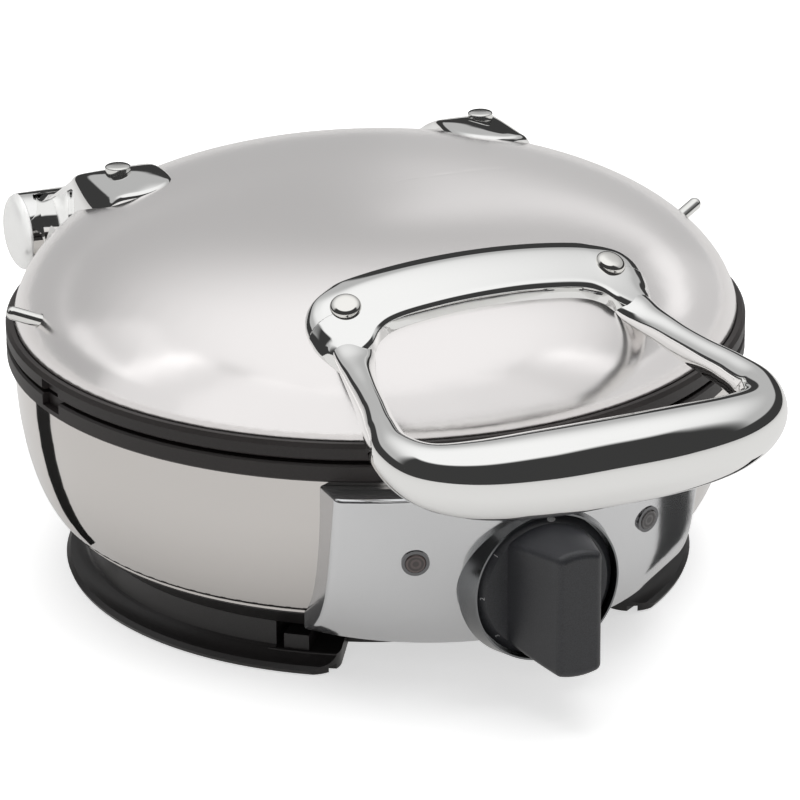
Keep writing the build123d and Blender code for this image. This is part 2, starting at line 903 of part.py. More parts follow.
def plate_outline():
    """Plan of the handle's plate: a bar whose round ends run into the loop's arms."""
    def spot(x, inside):
        return (x, -(ring_radius - inside))

    back = [spot(x, inside) for x, inside in plate_end]
    mouth = [spot(x, inside) for x, inside in plate_mouth]
    inner = [spot(x, inside) for x, inside in plate_inner]
    start = spot(plate_straight, plate_back_in)
    finish = spot(plate_straight, plate_front_in)
    back_line = Spline([start] + back + mouth[:1], tangents=[(1, 0), (-0.45, -1)])
    front_line = Spline(mouth[1:] + inner + [finish], tangents=[(-0.8, 0.6), (-1, 0)])
    right = back_line + Line(*mouth) + front_line
    left = mirror(right, Plane.YZ)
    flat_back = Line(spot(-plate_straight, plate_back_in), start)
    flat_front = Line(finish, spot(-plate_straight, plate_front_in))
    return make_face(right + left + flat_back + flat_front)


def handle_rivet_plane():
    """Seat of the right-hand handle rivet's head."""
    return dome_plane(handle_rivet_x, handle_rivet_y, plate_thick)


def arm_rivet_plane():
    """Seat of the right-hand arm rivet's head."""
    return Plane(origin=(arm_rivet_x, arm_rivet_y, arm_rivet_seat_z), z_dir=(0, 0, 1))


def rivet_cuts(seat, head_radius):
    """What a casting loses to its two rivets: shank holes and flat seats."""
    hole = extrude(seat.offset(-20) * Circle(rivet_shank + hole_clearance), amount=40)
    spot = extrude(seat * Circle(head_radius + seat_clearance), amount=12)
    return both_sides(hole) + both_sides(spot)


def make_rivet(seat, head_radius, head_tall, depth):
    """Rivet with a rounded head on its seat and an upset end at a depth below it."""
    head = extrude(seat * Circle(head_radius), amount=head_tall)
    head = fillet(head.edges().group_by(Axis(seat.origin, seat.z_dir))[-1], 0.6 * head_tall)
    low = seat.offset(-depth - rivet_upset)
    shank = extrude(low * Circle(rivet_shank), amount=depth + rivet_upset + join)
    upset = extrude(low * Circle(rivet_shank + rivet_upset), amount=rivet_upset)
    return head + shank + upset


def make_handle_backing():
    """Strip inside the dome that backs the handle's plate."""
    middle_y = -(ring_radius - handle_rivet_in)
    outline = Pos(0, middle_y) * SlotOverall(2 * backing_half_long, 2 * backing_half_wide)
    strip = extrude(Plane.XY.offset(dome_seat_z) * outline, amount=dome_rise)
    strip &= dome_volume(-dome_wall, dome_seat_z)
    strip -= dome_volume(-dome_wall - backing_thick, dome_seat_z - 1)
    for hole in lid_holes():
        strip -= hole
    return strip


def arm_rivet_depth():
    """Length of the arm rivet's shank below its seat."""
    lowest = dome_height(hypot(arm_rivet_x, arm_rivet_y) + rivet_shank + rivet_upset)
    return arm_rivet_seat_z - lowest + arm_backing_depth


def make_arm_backings():
    """Two flat pads inside the dome that back the hinge arms."""
    lowest = arm_rivet_seat_z - arm_rivet_depth() + rivet_play
    spot = Plane.XY.offset(lowest) * Pos(arm_rivet_x, arm_rivet_y) * Circle(arm_backing_radius)
    disc = extrude(spot, amount=dome_rise)
    disc &= dome_volume(-dome_wall, dome_seat_z)
    for hole in lid_holes():
        disc -= hole
    return group(both_sides(disc))


def arm_side():
    """Side view of a hinge arm: what its top and underside follow, front to back."""
    top = [(0, hinge_y - y, dome_base_z + z) for y, z in arm_top]
    under = [(0, hinge_y - y, dome_base_z + z) for y, z in arm_under]
    knuckle = [(0, hinge_y, hinge_z + barrel_radius), (0, hinge_y, hinge_z - barrel_radius + 2)]
    return make_face(Polyline(top + knuckle + under, close=True))


def arm_crown():
    """Front view of a hinge arm: how its top falls away to both sides."""
    line = [(arm_inner_x + x, 0, dome_base_z + z) for x, z in arm_cross]
    low = hinge_z - barrel_radius
    corners = [(line[0][0], 0, low)] + line + [(line[-1][0], 0, low)]
    return make_face(Polyline(corners, close=True))


def arm_plan():
    """Plan of a hinge arm, from the rounded nose to the knuckle."""
    line = [(arm_inner_x + x, hinge_y - y) for x, y in arm_plan_points]
    outer = line[-1][0]
    corners = line + [(outer, hinge_y), (knuckle_start, hinge_y), (knuckle_start, hinge_y - 32)]
    return make_face(Polyline(corners, close=True))


def make_arm():
    """Right-hand hinge arm: a pad on the dome, a strap over the ring and a knuckle."""
    slab = Pos(arm_inner_x - 10, 0, 0) * extrude(arm_side(), amount=60, dir=(1, 0, 0))
    crown = extrude(arm_crown(), amount=reach_past, dir=(0, 1, 0))
    column = extrude(Plane.XY.offset(hinge_z - barrel_radius) * arm_plan(), amount=2 * dome_rise)
    arm = slab & crown & column
    arm -= dome_volume(0, dome_base_z - 1)
    knuckle = rod((knuckle_start, hinge_y, hinge_z), (knuckle_end, hinge_y, hinge_z), barrel_radius)
    arm += knuckle
    arm -= rod(
        (knuckle_start - 1, hinge_y, hinge_z),
        (knuckle_end + 1, hinge_y, hinge_z),
        hinge_shaft_radius + hinge_fit,
    )
    for cut in rivet_cuts(arm_rivet_plane(), arm_rivet_radius):
        arm -= cut
    return arm


def make_cap():
    """Right-hand domed cap that closes the knuckle."""
    outline = Spline(
        [(knuckle_end, 0, barrel_radius), (knuckle_end + 0.86 * cap_reach, 0, 0.62 * barrel_radius),
         (knuckle_end + cap_reach, 0, 0)],
        tangents=[(1, 0, -0.12), (0, 0, -1)],
    )
    rest = Polyline([(knuckle_end + cap_reach, 0, 0), (knuckle_end, 0, 0), (knuckle_end, 0, barrel_radius)])
    cap = revolve(make_face(outline + rest), Axis.X)
    return Pos(0, hinge_y, hinge_z) * cap


def make_barrel():
    """Fixed middle barrel of the hinge."""
    ends = [(-barrel_half, hinge_y, hinge_z), (barrel_half, hinge_y, hinge_z)]
    return rod(*ends, barrel_radius) - rod(*ends, barrel_radius - barrel_wall)


def make_washers():
    """Dark washers between the barrel and the arms."""
    start = (barrel_half, hinge_y, hinge_z)
    end = (barrel_half + washer_thick, hinge_y, hinge_z)
    washer = rod(start, end, barrel_radius - washer_inset) - rod(start, end, hinge_shaft_radius)
    return group(both_sides(washer))


def make_bushes():
    """Plugs that centre the shaft in the barrel."""
    start = (barrel_half - bush_length, hinge_y, hinge_z)
    end = (barrel_half, hinge_y, hinge_z)
    bush = rod(start, end, barrel_radius - barrel_wall) - rod(start, end, hinge_shaft_radius)
    return group(both_sides(bush))


def make_hinge_shaft():
    """Steel shaft that the arms turn on."""
    reach = knuckle_end - 2
    return rod((-reach, hinge_y, hinge_z), (reach, hinge_y, hinge_z), hinge_shaft_radius)


def bracket_bolts():
    """(x, z) of the four screws that hold the hinge bracket on the bowl."""
    return [(x, z) for x in (-bracket_bolt_x, bracket_bolt_x) for z in bracket_bolt_z]


def make_bracket():
    """Rear bracket: a pad on the bowl and a cradle under the barrel."""
    low, high = lower_ring_bottom - 42, lower_ring_bottom - 0.6
    side = Polyline(
        [
            (0, core_radius, low),
            (0, ring_radius, low),
            (0, ring_radius + 10, low + 12),
            (0, hinge_reach - 2, hinge_z - 14),
            (0, hinge_reach - 2, high),
            (0, core_radius, high),
        ],
        close=True,
    )
    body = Pos(-bracket_half, 0, 0) * extrude(make_face(side), amount=2 * bracket_half, dir=(1, 0, 0))
    body -= bowl_volume(0, 0)
    body -= rod((-knuckle_end, hinge_y, hinge_z), (knuckle_end, hinge_y, hinge_z), barrel_radius)
    for x, z in bracket_bolts():
        body -= rod((x, core_radius, z), (x, ring_radius - 1, z), screw_radius + screw_play)
    return body


def make_bracket_screws():
    """Four screws from inside the bowl into the bracket."""
    screws = []
    for x, z in bracket_bolts():
        face = sqrt((bowl_top_radius - 4.6) ** 2 - x**2)
        head = rod((x, face - screw_head_tall - 1, z), (x, face - 1, z), screw_head_radius)
        screws.append(head + rod((x, face - 2, z), (x, ring_radius - 1.5, z), screw_radius))
    return group(screws)


def panel_section(level, inset):
    """Closed plan of the panel at one station, its walls moved in by inset."""
    edge, front = panel_stations[level][1:]
    half = panel_half_width - inset
    edge_y = -(ring_radius + edge - inset)
    front_y = -(ring_radius + front - inset)
    back_y = -(ring_radius - panel_deep)
    face = make_face(
        ThreePointArc((-half, edge_y), (0, front_y), (half, edge_y))
        + Polyline([(half, edge_y), (half, back_y), (-half, back_y), (-half, edge_y)])
    )
    front = face.vertices().filter_by(lambda v: v.Y < back_y - 1)
    return fillet(front, panel_corner - inset)


def panel_level_z(level, inset):
    """Height of one station of the panel."""
    share = panel_stations[level][0]
    low = panel_bottom_z + inset
    return low + share * (panel_top_z - inset - low)


def panel_volume(inset):
    """The panel filled solid, its walls moved in by inset."""
    sections = []
    for level in range(len(panel_stations)):
        z = panel_level_z(level, inset)
        sections.append(Plane.XY.offset(z) * panel_section(level, inset))
    volume = loft(sections)
    top = volume.faces().sort_by(Axis.Z)[-1]
    return fillet(top.edges(), panel_top_edge)


def light_plane(side, lift=0.0):
    """Plane of one indicator light, its Z pointing out of the panel."""
    turn = radians(light_turn)
    tilt = radians(light_tilt)
    normal = Vector(side * sin(turn) * cos(tilt), -cos(turn) * cos(tilt), sin(tilt))
    spot = Vector(side * light_x, -light_front_y(), light_z) + normal * lift
    return Plane(origin=spot, z_dir=normal)


def panel_front_y(x, z):
    """Distance of the panel's face in front of the body's axis."""
    share = (z - panel_bottom_z) / (panel_top_z - panel_bottom_z)
    for (s0, e0, f0), (s1, e1, f1) in zip(panel_stations, panel_stations[1:]):
        if s0 <= share <= s1:
            t = (share - s0) / (s1 - s0)
            edge = ring_radius + e0 + t * (e1 - e0)
            front = ring_radius + f0 + t * (f1 - f0)
            sag = front - edge
            radius = (panel_half_width**2 + sag**2) / (2 * sag)
            return front - radius + sqrt(radius**2 - x**2)
    raise ValueError("height outside the panel")


def light_front_y():
    """Distance of the panel's face in front of the axis at a light."""
    return panel_front_y(light_x, light_z)


def make_panel():
    """Silver housing in front of the bowl, open towards it."""
    panel = panel_volume(0) - panel_volume(panel_wall)
    panel -= bowl_volume(panel_fit, panel_bottom_z - 1)
    opening = bezel_bore + bezel_sleeve + hole_clearance
    panel -= rod((0, -bezel_rim_y, knob_z), (0, -thermostat_back_y, knob_z), opening)
    for side in (-1, 1):
        panel -= extrude(light_plane(side, -5) * Circle(lens_radius + lens_sleeve + 0.1), amount=10)
    return panel


def make_knob_bezel():
    """Metal cup round the knob, its outer ring shaped to the panel's face."""
    root_y = bezel_rim_y - 16
    shoulder_y = panel_front_y(0, knob_z) - 3.0
    outline = Polyline(
        [
            (bezel_bore, -root_y, 0),
            (bezel_root_radius - 0.9, -root_y, 0),
            (bezel_root_radius - 0.9, -shoulder_y, 0),
            (bezel_root_radius, -shoulder_y - bezel_groove, 0),
            (bezel_rim_radius, -bezel_rim_y, 0),
            (bezel_bore, -bezel_rim_y, 0),
        ],
        close=True,
    )
    ring = revolve(make_face(outline), Axis.Y)
    ring = Pos(0, 0, knob_z) * ring - panel_volume(0)
    back_y = -bezel_floor_y + bezel_floor_thick
    sleeve = rod((0, back_y, knob_z), (0, -bezel_rim_y, knob_z), bezel_bore + bezel_sleeve)
    sleeve -= rod((0, -bezel_floor_y, knob_z), (0, -bezel_rim_y - 1, knob_z), bezel_bore)
    cup = ring + sleeve
    return cup - rod((0, 0, knob_z), (0, -reach_past, knob_z), neck_bush_radius + hole_clearance)


def make_knob():
    """Black dial with its grip, hollow behind, with a hub for the shaft."""
    face, back = -knob_face_y, -knob_back_y
    disc = make_face(
        Polyline(
            [
                (0, back, 0),
                (knob_radius, back, 0),
                (knob_radius, face + knob_edge, 0),
                (knob_radius - knob_edge, face, 0),
                (0, face, 0),
            ],
            close=True,
        )
    )
    knob = revolve(disc, Axis.Y)
    knob -= rod((0, back + 1, 0), (0, face + knob_wall, 0), knob_radius - knob_wall)
    knob += rod((0, back - 2, 0), (0, face + 1, 0), shaft_radius + hub_wall)
    wedge_plan = make_face(
        Polyline(
            [
                (-grip_base_half, face + join),
                (-grip_front_half, face - grip_reach),
                (grip_front_half, face - grip_reach),
                (grip_base_half, face + join),
            ],
            close=True,
        )
    )
    grip = extrude(Plane.XY.offset(-grip_radius - 1) * wedge_plan, amount=2 * grip_radius + 2)
    grip &= rod((0, face + join, 0), (0, face - grip_reach - 1, 0), grip_radius)
    free_edges = grip.edges().filter_by(lambda e: e.center().Y < face)
    knob += fillet(free_edges, grip_round)
    knob -= rod((0, back + 1, 0), (0, -shaft_tip_y(), 0), shaft_radius)
    return Pos(0, 0, knob_z) * knob


def shaft_tip_y():
    """Distance of the shaft's tip in front of the axis."""
    return knob_face_y + shaft_grip


def make_shaft():
    """Shaft that the knob turns."""
    tip = -shaft_tip_y()
    return rod((0, tip, knob_z), (0, tip + shaft_length, knob_z), shaft_radius)


def make_dot():
    """White mark on the bevel at the top of the dial."""
    middle = knob_edge / 2
    spot = (0, -knob_face_y + middle, knob_radius - middle)
    bevel = Plane(origin=spot, x_dir=(1, 0, 0), z_dir=(0, -1, 1))
    dot = extrude(bevel * Ellipse(dot_half_wide, dot_half_tall), amount=dot_proud)
    return Pos(0, 0, knob_z) * Rot(0, dot_turn, 0) * dot


def make_thermostat():
    """Thermostat switch with a threaded neck through the panel."""
    half = thermostat_wide / 2
    tall = thermostat_tall / 2
    front = -thermostat_back_y - thermostat_deep
    body = block(-half, half, front, -thermostat_back_y, knob_z - tall, knob_z + tall)
    neck_end = -bezel_floor_y - nut_thick - 0.4
    body += rod((0, front + 1, knob_z), (0, neck_end, knob_z), neck_bush_radius)
    body -= rod((0, 0, knob_z), (0, -reach_past, knob_z), shaft_radius + shaft_fit)
    return body


def make_spacer():
    """Sleeve between the thermostat and the floor of the knob's cup."""
    front = (0, -bezel_floor_y + bezel_floor_thick, knob_z)
    back = (0, -thermostat_back_y - thermostat_deep, knob_z)
    return rod(back, front, spacer_radius) - rod(back, front, neck_bush_radius + hole_clearance)


def make_nut():
    """Nut that clamps the thermostat's neck in the knob's cup."""
    plane = Plane(origin=(0, -bezel_floor_y, knob_z), z_dir=(0, -1, 0))
    nut = extrude(plane * RegularPolygon(nut_flats / 2, 6, major_radius=False), amount=nut_thick)
    return nut - rod((0, 0, knob_z), (0, -reach_past, knob_z), neck_bush_radius)


def make_lens(side):
    """Round lens of one indicator light, slightly domed."""
    plane = light_plane(side, -lens_deep)
    lens = extrude(plane * Circle(lens_radius), amount=lens_deep + lens_proud)
    rim = lens.edges().group_by(Axis(plane.origin, plane.z_dir))[-1]
    return fillet(rim, lens_round)


def make_light_ring(side):
    """Metal ring round one lens, seated on the panel."""
    seat = light_plane(side, -1.0)
    inside = light_plane(side, -panel_wall)
    ring = extrude(seat * Circle(bezel_ring_radius), amount=1.0 + bezel_ring_proud)
    ring -= panel_volume(0)
    ring += extrude(inside * Circle(lens_radius + lens_sleeve), amount=panel_wall + bezel_ring_proud)
    return ring - extrude(light_plane(side, -6) * Circle(lens_radius + lens_fit), amount=12)


def make_lamp_holders():
    """Two small lamps behind the lenses."""
    plane = light_plane(1, -lens_deep - 0.1 - lamp_length)
    return group(both_sides(extrude(plane * Circle(lens_radius - 0.4), amount=lamp_length)))


def make_inlet():
    """Rubber bush in the bowl's back where a mains cord would enter."""
    wall = inlet_wall_radius()

    def spot(out):
        return at_azimuth(wall + out, inlet_azimuth, inlet_z)

    face = spot(hole_clearance)
    end = spot(hole_clearance + inlet_flange_thick)
    tail = spot(hole_clearance + inlet_flange_thick + inlet_tail)
    bush = rod(spot(-inlet_inside), face, inlet_neck)
    bush += rod(face, end, inlet_flange)
    bush += rod(end, tail, inlet_neck)
    bush -= rod(spot(-2 * inlet_inside), spot(2 * inlet_tail), inlet_bore)
    wall_layer = bowl_volume(inlet_play, 0) - bowl_volume(-bowl_wall - inlet_play, 0)
    return bush - (wall_layer - rod(spot(-2 * inlet_inside), tail, inlet_neck + hole_clearance / 2))


def inlet_wall_radius():
    """Radius of the bowl's outer face at the height of the inlet."""
    points = bowl_points(0)
    for (r0, z0), (r1, z1) in zip(points, points[1:]):
        if z0 <= inlet_z <= z1:
            return r0 + (r1 - r0) * (inlet_z - z0) / (z1 - z0)
    raise ValueError("inlet outside the bowl")


def make_terminal_block():
    """Terminal block on the bottom cover."""
    low = cover_z + cover_thick
    high = low + terminal_tall
    half = lead_spread + terminal_margin
    slot = terminal_slot / 2
    body = block(-half, half, terminal_y, terminal_y + terminal_deep, low, high)
    for x in (-lead_spread, 0, lead_spread):
        body -= block(x - slot, x + slot, terminal_y - 1, terminal_y + 4, low + 4, high + 1)
    return body


def make_leads():
    """Three leads from the terminal block to the thermostat."""
    leads = []
    start_y = terminal_y + 4
    start_z = cover_z + cover_thick + terminal_tall / 2
    end_y = -thermostat_back_y
    end_z = knob_z - thermostat_tall / 2 + 5
    for x in (-lead_spread, 0, lead_spread):
        points = [
            (x, start_y, start_z),
            (x, start_y - 46, start_z),
            (x, end_y + 50, start_z + 11.4),
            (x, end_y + 22, end_z),
            (x, end_y, end_z),
        ]
        path = FilletPolyline(points, radius=list(lead_bends))
        section = Plane(origin=points[0], z_dir=(0, -1, 0)) * Circle(lead_radius)
        leads.append(sweep(section, path=path))
    return group(leads)


def make_sensor():
    """Temperature sensor clamped under the middle of the lower plate."""
    under = plate_under_z()
    body = Pos(0, 0, under - sensor_tall) * extrude(Circle(sensor_radius), amount=sensor_tall)
    reach = sensor_radius + 5
    return body + block(-reach, reach, -4, 4, under - strap_thick, under)


def make_fuse():
    """Thermal fuse on the upper plate, drawn in the lower plate's place."""
    under = plate_under_z()
    centre_z = under - fuse_radius - join
    body = rod((-fuse_half, fuse_y, centre_z), (fuse_half, fuse_y, centre_z), fuse_radius)
    return body + block(-3, 3, fuse_y - 6, fuse_y + 6, under - strap_thick, under)


lower_plate = make_plate()
lower_element = make_element()
lower_clips = make_element_clips()
lower_shield = make_shield()
plate_screws = make_plate_screws()
ring_screws = make_ring_screws()

save(make_skirt(), "base_skirt")
save(make_cover(), "bottom_cover")
save(make_cover_screws(), "cover_screws")
save(make_feet(), "rubber_feet")
save(make_cord_clips(), "cord_clips")
save(make_bowl(), "bowl_shell")
save(make_lower_ring(), "lower_trim_ring")
save(lower_shield, "lower_heat_shield")
save(lower_plate, "lower_waffle_plate")
save(lower_element, "lower_heating_element")
save(lower_clips, "lower_element_clips")
save(plate_screws, "lower_plate_screws")
save(ring_screws, "lower_ring_screws")
save(make_sensor(), "temperature_sensor")
save(make_panel(), "control_panel")
save(make_spacer(), "thermostat_spacer")
save(make_thermostat(), "thermostat_switch")
save(make_nut(), "thermostat_nut")
save(make_knob_bezel(), "knob_bezel")
save(make_lens(-1), "power_lens")
save(make_lens(1), "ready_lens")
save(group([make_light_ring(-1), make_light_ring(1)]), "lens_rings")
save(make_lamp_holders(), "lamp_holders")
save(make_bracket(), "hinge_bracket")
save(make_bracket_screws(), "hinge_bracket_screws")
save(make_barrel(), "hinge_barrel")
save(make_bushes(), "hinge_bushes")
save(make_washers(), "hinge_washers")
save(make_hinge_shaft(), "hinge_shaft")
save(make_inlet(), "cord_inlet_bush")
save(make_terminal_block(), "terminal_block")
save(make_leads(), "internal_leads")

save(make_upper_ring(), "upper_trim_ring")
save(make_dome(), "dome_shell")
save(to_lid(lower_shield), "upper_heat_shield")
save(to_lid(lower_plate), "upper_waffle_plate")
save(to_lid(lower_element), "upper_heating_element")
save(to_lid(lower_clips), "upper_element_clips")
save(to_lid(plate_screws), "upper_plate_screws")
save(to_lid(ring_screws), "upper_ring_screws")
save(to_lid(make_fuse()), "thermal_fuse")
save(make_handle(), "handle")
save(make_handle_backing(), "handle_backing_plate")
handle_depth = plate_thick + dome_wall + backing_thick + rivet_play
handle_rivet = make_rivet(handle_rivet_plane(), handle_rivet_radius, handle_rivet_tall, handle_depth)
save(group(both_sides(handle_rivet)), "handle_rivets")
arm = make_arm()
save(mirror(arm, Plane.YZ), "hinge_arm_left")
save(arm, "hinge_arm_right")
cap = make_cap()
save(mirror(cap, Plane.YZ), "hinge_cap_left")
save(cap, "hinge_cap_right")
arm_rivet = make_rivet(arm_rivet_plane(), arm_rivet_radius, arm_rivet_tall, arm_rivet_depth())
save(group(both_sides(arm_rivet)), "arm_rivets")
save(make_arm_backings(), "arm_backing_plates")
pin = make_pin()
save(mirror(pin, Plane.YZ), "side_pin_left")
save(pin, "side_pin_right")

save(make_knob(), "dial_knob")
save(make_dot(), "dial_dot")
save(make_shaft(), "control_shaft")
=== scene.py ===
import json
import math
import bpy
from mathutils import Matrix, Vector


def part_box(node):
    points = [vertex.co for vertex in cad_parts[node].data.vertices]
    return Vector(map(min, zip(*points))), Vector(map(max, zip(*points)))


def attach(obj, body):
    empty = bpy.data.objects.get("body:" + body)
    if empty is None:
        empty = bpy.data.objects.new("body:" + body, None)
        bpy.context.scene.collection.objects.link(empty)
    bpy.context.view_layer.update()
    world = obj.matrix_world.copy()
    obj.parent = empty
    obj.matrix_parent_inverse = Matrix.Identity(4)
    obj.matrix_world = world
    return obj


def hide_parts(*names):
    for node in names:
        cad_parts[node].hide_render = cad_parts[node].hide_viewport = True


bl_info = {
    "name": "Round waffle maker",
    "version": (1, 0, 0),
    "blender": (4, 5, 0),
    "location": "View3D > Sidebar > Waffle maker",
    "description": "Polished surfaces, finishes and studio for the packed round waffle maker",
    "category": "Object",
}

import bpy
import numpy as np
from bpy.props import FloatProperty, FloatVectorProperty, IntProperty, PointerProperty
from mathutils import Matrix, Vector

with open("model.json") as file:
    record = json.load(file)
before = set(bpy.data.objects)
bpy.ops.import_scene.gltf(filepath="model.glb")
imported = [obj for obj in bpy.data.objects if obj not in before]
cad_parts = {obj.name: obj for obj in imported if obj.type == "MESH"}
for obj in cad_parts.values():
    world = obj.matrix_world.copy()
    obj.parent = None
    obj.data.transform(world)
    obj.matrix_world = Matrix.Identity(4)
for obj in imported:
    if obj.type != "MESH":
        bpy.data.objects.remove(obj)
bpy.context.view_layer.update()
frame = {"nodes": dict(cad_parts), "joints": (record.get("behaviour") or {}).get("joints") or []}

MM = 0.001

# Level direction from the object towards the camera.
TOWARDS_CAMERA = Vector((-0.4002, -0.9164, 0.0))

WHITE = (1.0, 1.0, 1.0, 1.0)

# Each wall of light round the dome: its number, counted from the front to the
# right, its height in metres and its brightness. Wall 8 has two parts.
DOME_WALLS = (
    (0, 3.75, 0.80),
    (1, 3.75, 0.78),
    (2, 3.6, 0.68),
    (3, 1.0, 0.66),
    (4, 1.4, 0.60),
    (5, 1.3, 0.50),
    (6, 1.0, 0.45),
    (7, 1.0, 0.46),
    (8, 1.4, 0.42),
    (8, 2.9, 0.18),
    (9, 3.5, 0.78),
    (10, 3.75, 0.93),
    (11, 3.75, 0.92),
)


def node_middle(node):
    """Middle of a CAD node's box, in metres."""
    low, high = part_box(node)
    return (Vector(low) + Vector(high)) / 2


def joint_place(name):
    """The point that a joint's axis goes through, in metres."""
    return Vector(next(joint["pos_m"] for joint in frame["joints"] if joint["name"] == name))


body_axis_y = node_middle("dome_shell").y
hinge_axis = joint_place("lid_hinge")
dial_centre = joint_place("dial_turn")


class DomeSizes(bpy.types.PropertyGroup):
    """The lid's dome, which the handle's plate follows: its profile is a superellipse"""

    radius: FloatProperty(
        name="Radius",
        description="Radius of the dome at its rim",
        default=144.46 * MM,
        unit="LENGTH",
    )
    rise: FloatProperty(
        name="Rise",
        description="Height of the dome above its rim",
        default=49.55 * MM,
        unit="LENGTH",
    )
    rim_height: FloatProperty(
        name="Rim height",
        description="Height of the dome's rim over the table",
        default=106.25 * MM,
        unit="LENGTH",
    )
    roundness: FloatProperty(
        name="Roundness",
        description="Power of the radius in the profile's superellipse",
        default=3.21,
    )
    flatness: FloatProperty(
        name="Flatness",
        description="Power of the height in the profile's superellipse",
        default=1.69,
    )


class HandleSizes(bpy.types.PropertyGroup):
    """The cast handle"""

    plate_thickness: FloatProperty(
        name="Plate thickness",
        description="Thickness of the plate on the dome",
        default=5.5 * MM,
        unit="LENGTH",
    )
    bend_width: FloatProperty(
        name="Bend width",
        description="How far the plate's bend reaches from its back edge",
        default=9.5 * MM,
        unit="LENGTH",
    )
    bend_slope: FloatProperty(
        name="Bend slope",
        description="How steeply the plate bends down there",
        default=0.34,
    )
    crest_rise: FloatProperty(
        name="Crest rise",
        description="How much thicker the plate is before its bend",
        default=1.2 * MM,
        unit="LENGTH",
    )
    rivet_radius: FloatProperty(
        name="Rivet radius", description="Radius of a rivet head", default=6.0 * MM, unit="LENGTH"
    )
    rivet_height: FloatProperty(
        name="Rivet height", description="Height of a rivet head", default=3.4 * MM, unit="LENGTH"
    )


class HingeSizes(bpy.types.PropertyGroup):
    """The hinge arms and their caps"""

    barrel_radius: FloatProperty(
        name="Barrel radius",
        description="Radius of the barrel and the knuckles",
        default=16.5 * MM,
        unit="LENGTH",
    )
    knuckle_start: FloatProperty(
        name="Knuckle start",
        description="Inner end of a knuckle, from the middle",
        default=69.4 * MM,
        unit="LENGTH",
    )
    knuckle_end: FloatProperty(
        name="Knuckle end",
        description="Outer end of a knuckle, from the middle",
        default=93.0 * MM,
        unit="LENGTH",
    )
    cap_reach: FloatProperty(
        name="Cap reach",
        description="How far a cap bulges past its knuckle",
        default=5.5 * MM,
        unit="LENGTH",
    )
    rivet_radius: FloatProperty(
        name="Rivet radius",
        description="Radius of an arm rivet's head",
        default=5.2 * MM,
        unit="LENGTH",
    )


class DialSizes(bpy.types.PropertyGroup):
    """The dial's marks"""

    numbers: IntProperty(
        name="Numbers",
        description="How many settings the dial shows",
        default=5,
        min=2,
        max=9,
    )
    number_height: FloatProperty(
        name="Number height",
        description="Height of a printed number",
        default=1.9 * MM,
        unit="LENGTH",
    )
    print_colour: FloatVectorProperty(
        name="Print",
        description="Colour of the printed marks",
        default=(0.50, 0.50, 0.50),
        subtype="COLOR",
    )


class FinishColours(bpy.types.PropertyGroup):
    """Colours of the main finishes"""

    dome: FloatVectorProperty(
        name="Dome",
        description="Soft polished steel of the lid",
        default=(0.88, 0.855, 0.848),
        subtype="COLOR",
    )
    bowl: FloatVectorProperty(
        name="Bowl",
        description="Polished steel of the body",
        default=(0.66, 0.635, 0.615),
        subtype="COLOR",
    )
    casting: FloatVectorProperty(
        name="Casting",
        description="Mirror polished handle and hinge",
        default=(0.90, 0.90, 0.89),
        subtype="COLOR",
    )
    panel: FloatVectorProperty(
        name="Panel",
        description="Silver housing of the controls",
        default=(0.72, 0.725, 0.735),
        subtype="COLOR",
    )
    trim: FloatVectorProperty(
        name="Trim",
        description="Moulded rings between bowl and dome",
        default=(0.026, 0.022, 0.021),
        subtype="COLOR",
    )
    base: FloatVectorProperty(
        name="Base", description="Moulded base", default=(0.022, 0.020, 0.020), subtype="COLOR"
    )
    knob: FloatVectorProperty(
        name="Knob", description="Moulded dial knob", default=(0.033, 0.034, 0.038), subtype="COLOR"
    )


class StageSizes(bpy.types.PropertyGroup):
    """The studio"""

    floor_size: FloatProperty(
        name="Floor",
        description="Side of the floor",
        default=9.0,
        unit="LENGTH",
    )
    floor_colour: FloatVectorProperty(
        name="Floor colour", description="Pale floor", default=(0.86, 0.86, 0.86), subtype="COLOR"
    )
    lamp_power: FloatProperty(
        name="Lamp power",
        description="Power of the large overhead lamp",
        default=17.0,
    )
    wall_light: FloatProperty(
        name="Walls",
        description="Brightness of the walls of light that only the dome and the caps show",
        default=1.0,
    )
    low_sky: FloatProperty(
        name="Low sky",
        description="How bright the studio is near the horizon, behind the object",
        default=0.50,
    )
    dark_level: FloatProperty(
        name="Dark level",
        description="How bright the studio's dark parts are",
        default=0.045,
    )
    floor_glow: FloatProperty(
        name="Floor glow",
        description="Light that the floor adds where the camera sees it",
        default=0.60,
    )
    floor_shine: FloatProperty(
        name="Floor shine",
        description="Light that the floor adds where the metal shows it",
        default=0.40,
    )


class Value:
    """An output of a node, with its arithmetic written as Python expressions."""

    def __init__(self, tree, socket):
        self.tree = tree
        self.socket = socket

    def maths(self, operation, *values):
        """The result of a Math node on these values, in order."""
        node = self.tree.nodes.new("ShaderNodeMath")
        node.operation = operation
        for slot, value in zip(node.inputs, values):
            if isinstance(value, Value):
                self.tree.links.new(value.socket, slot)
            else:
                slot.default_value = value
        return Value(self.tree, node.outputs[0])

    def __add__(self, other):
        return self.maths("ADD", self, other)

    def __radd__(self, other):
        return self.maths("ADD", other, self)

    def __sub__(self, other):
        return self.maths("SUBTRACT", self, other)

    def __rsub__(self, other):
        return self.maths("SUBTRACT", other, self)

    def __mul__(self, other):
        return self.maths("MULTIPLY", self, other)

    def __rmul__(self, other):
        return self.maths("MULTIPLY", other, self)

    def __truediv__(self, other):
        return self.maths("DIVIDE", self, other)

    def __rtruediv__(self, other):
        return self.maths("DIVIDE", other, self)

    def root(self):
        """Square root."""
        return self.maths("SQRT", self)

    def sine(self):
        """Sine of an angle in radians."""
        return self.maths("SINE", self)

    def most(self, other):
        """The larger of the two."""
        return self.maths("MAXIMUM", self, other)


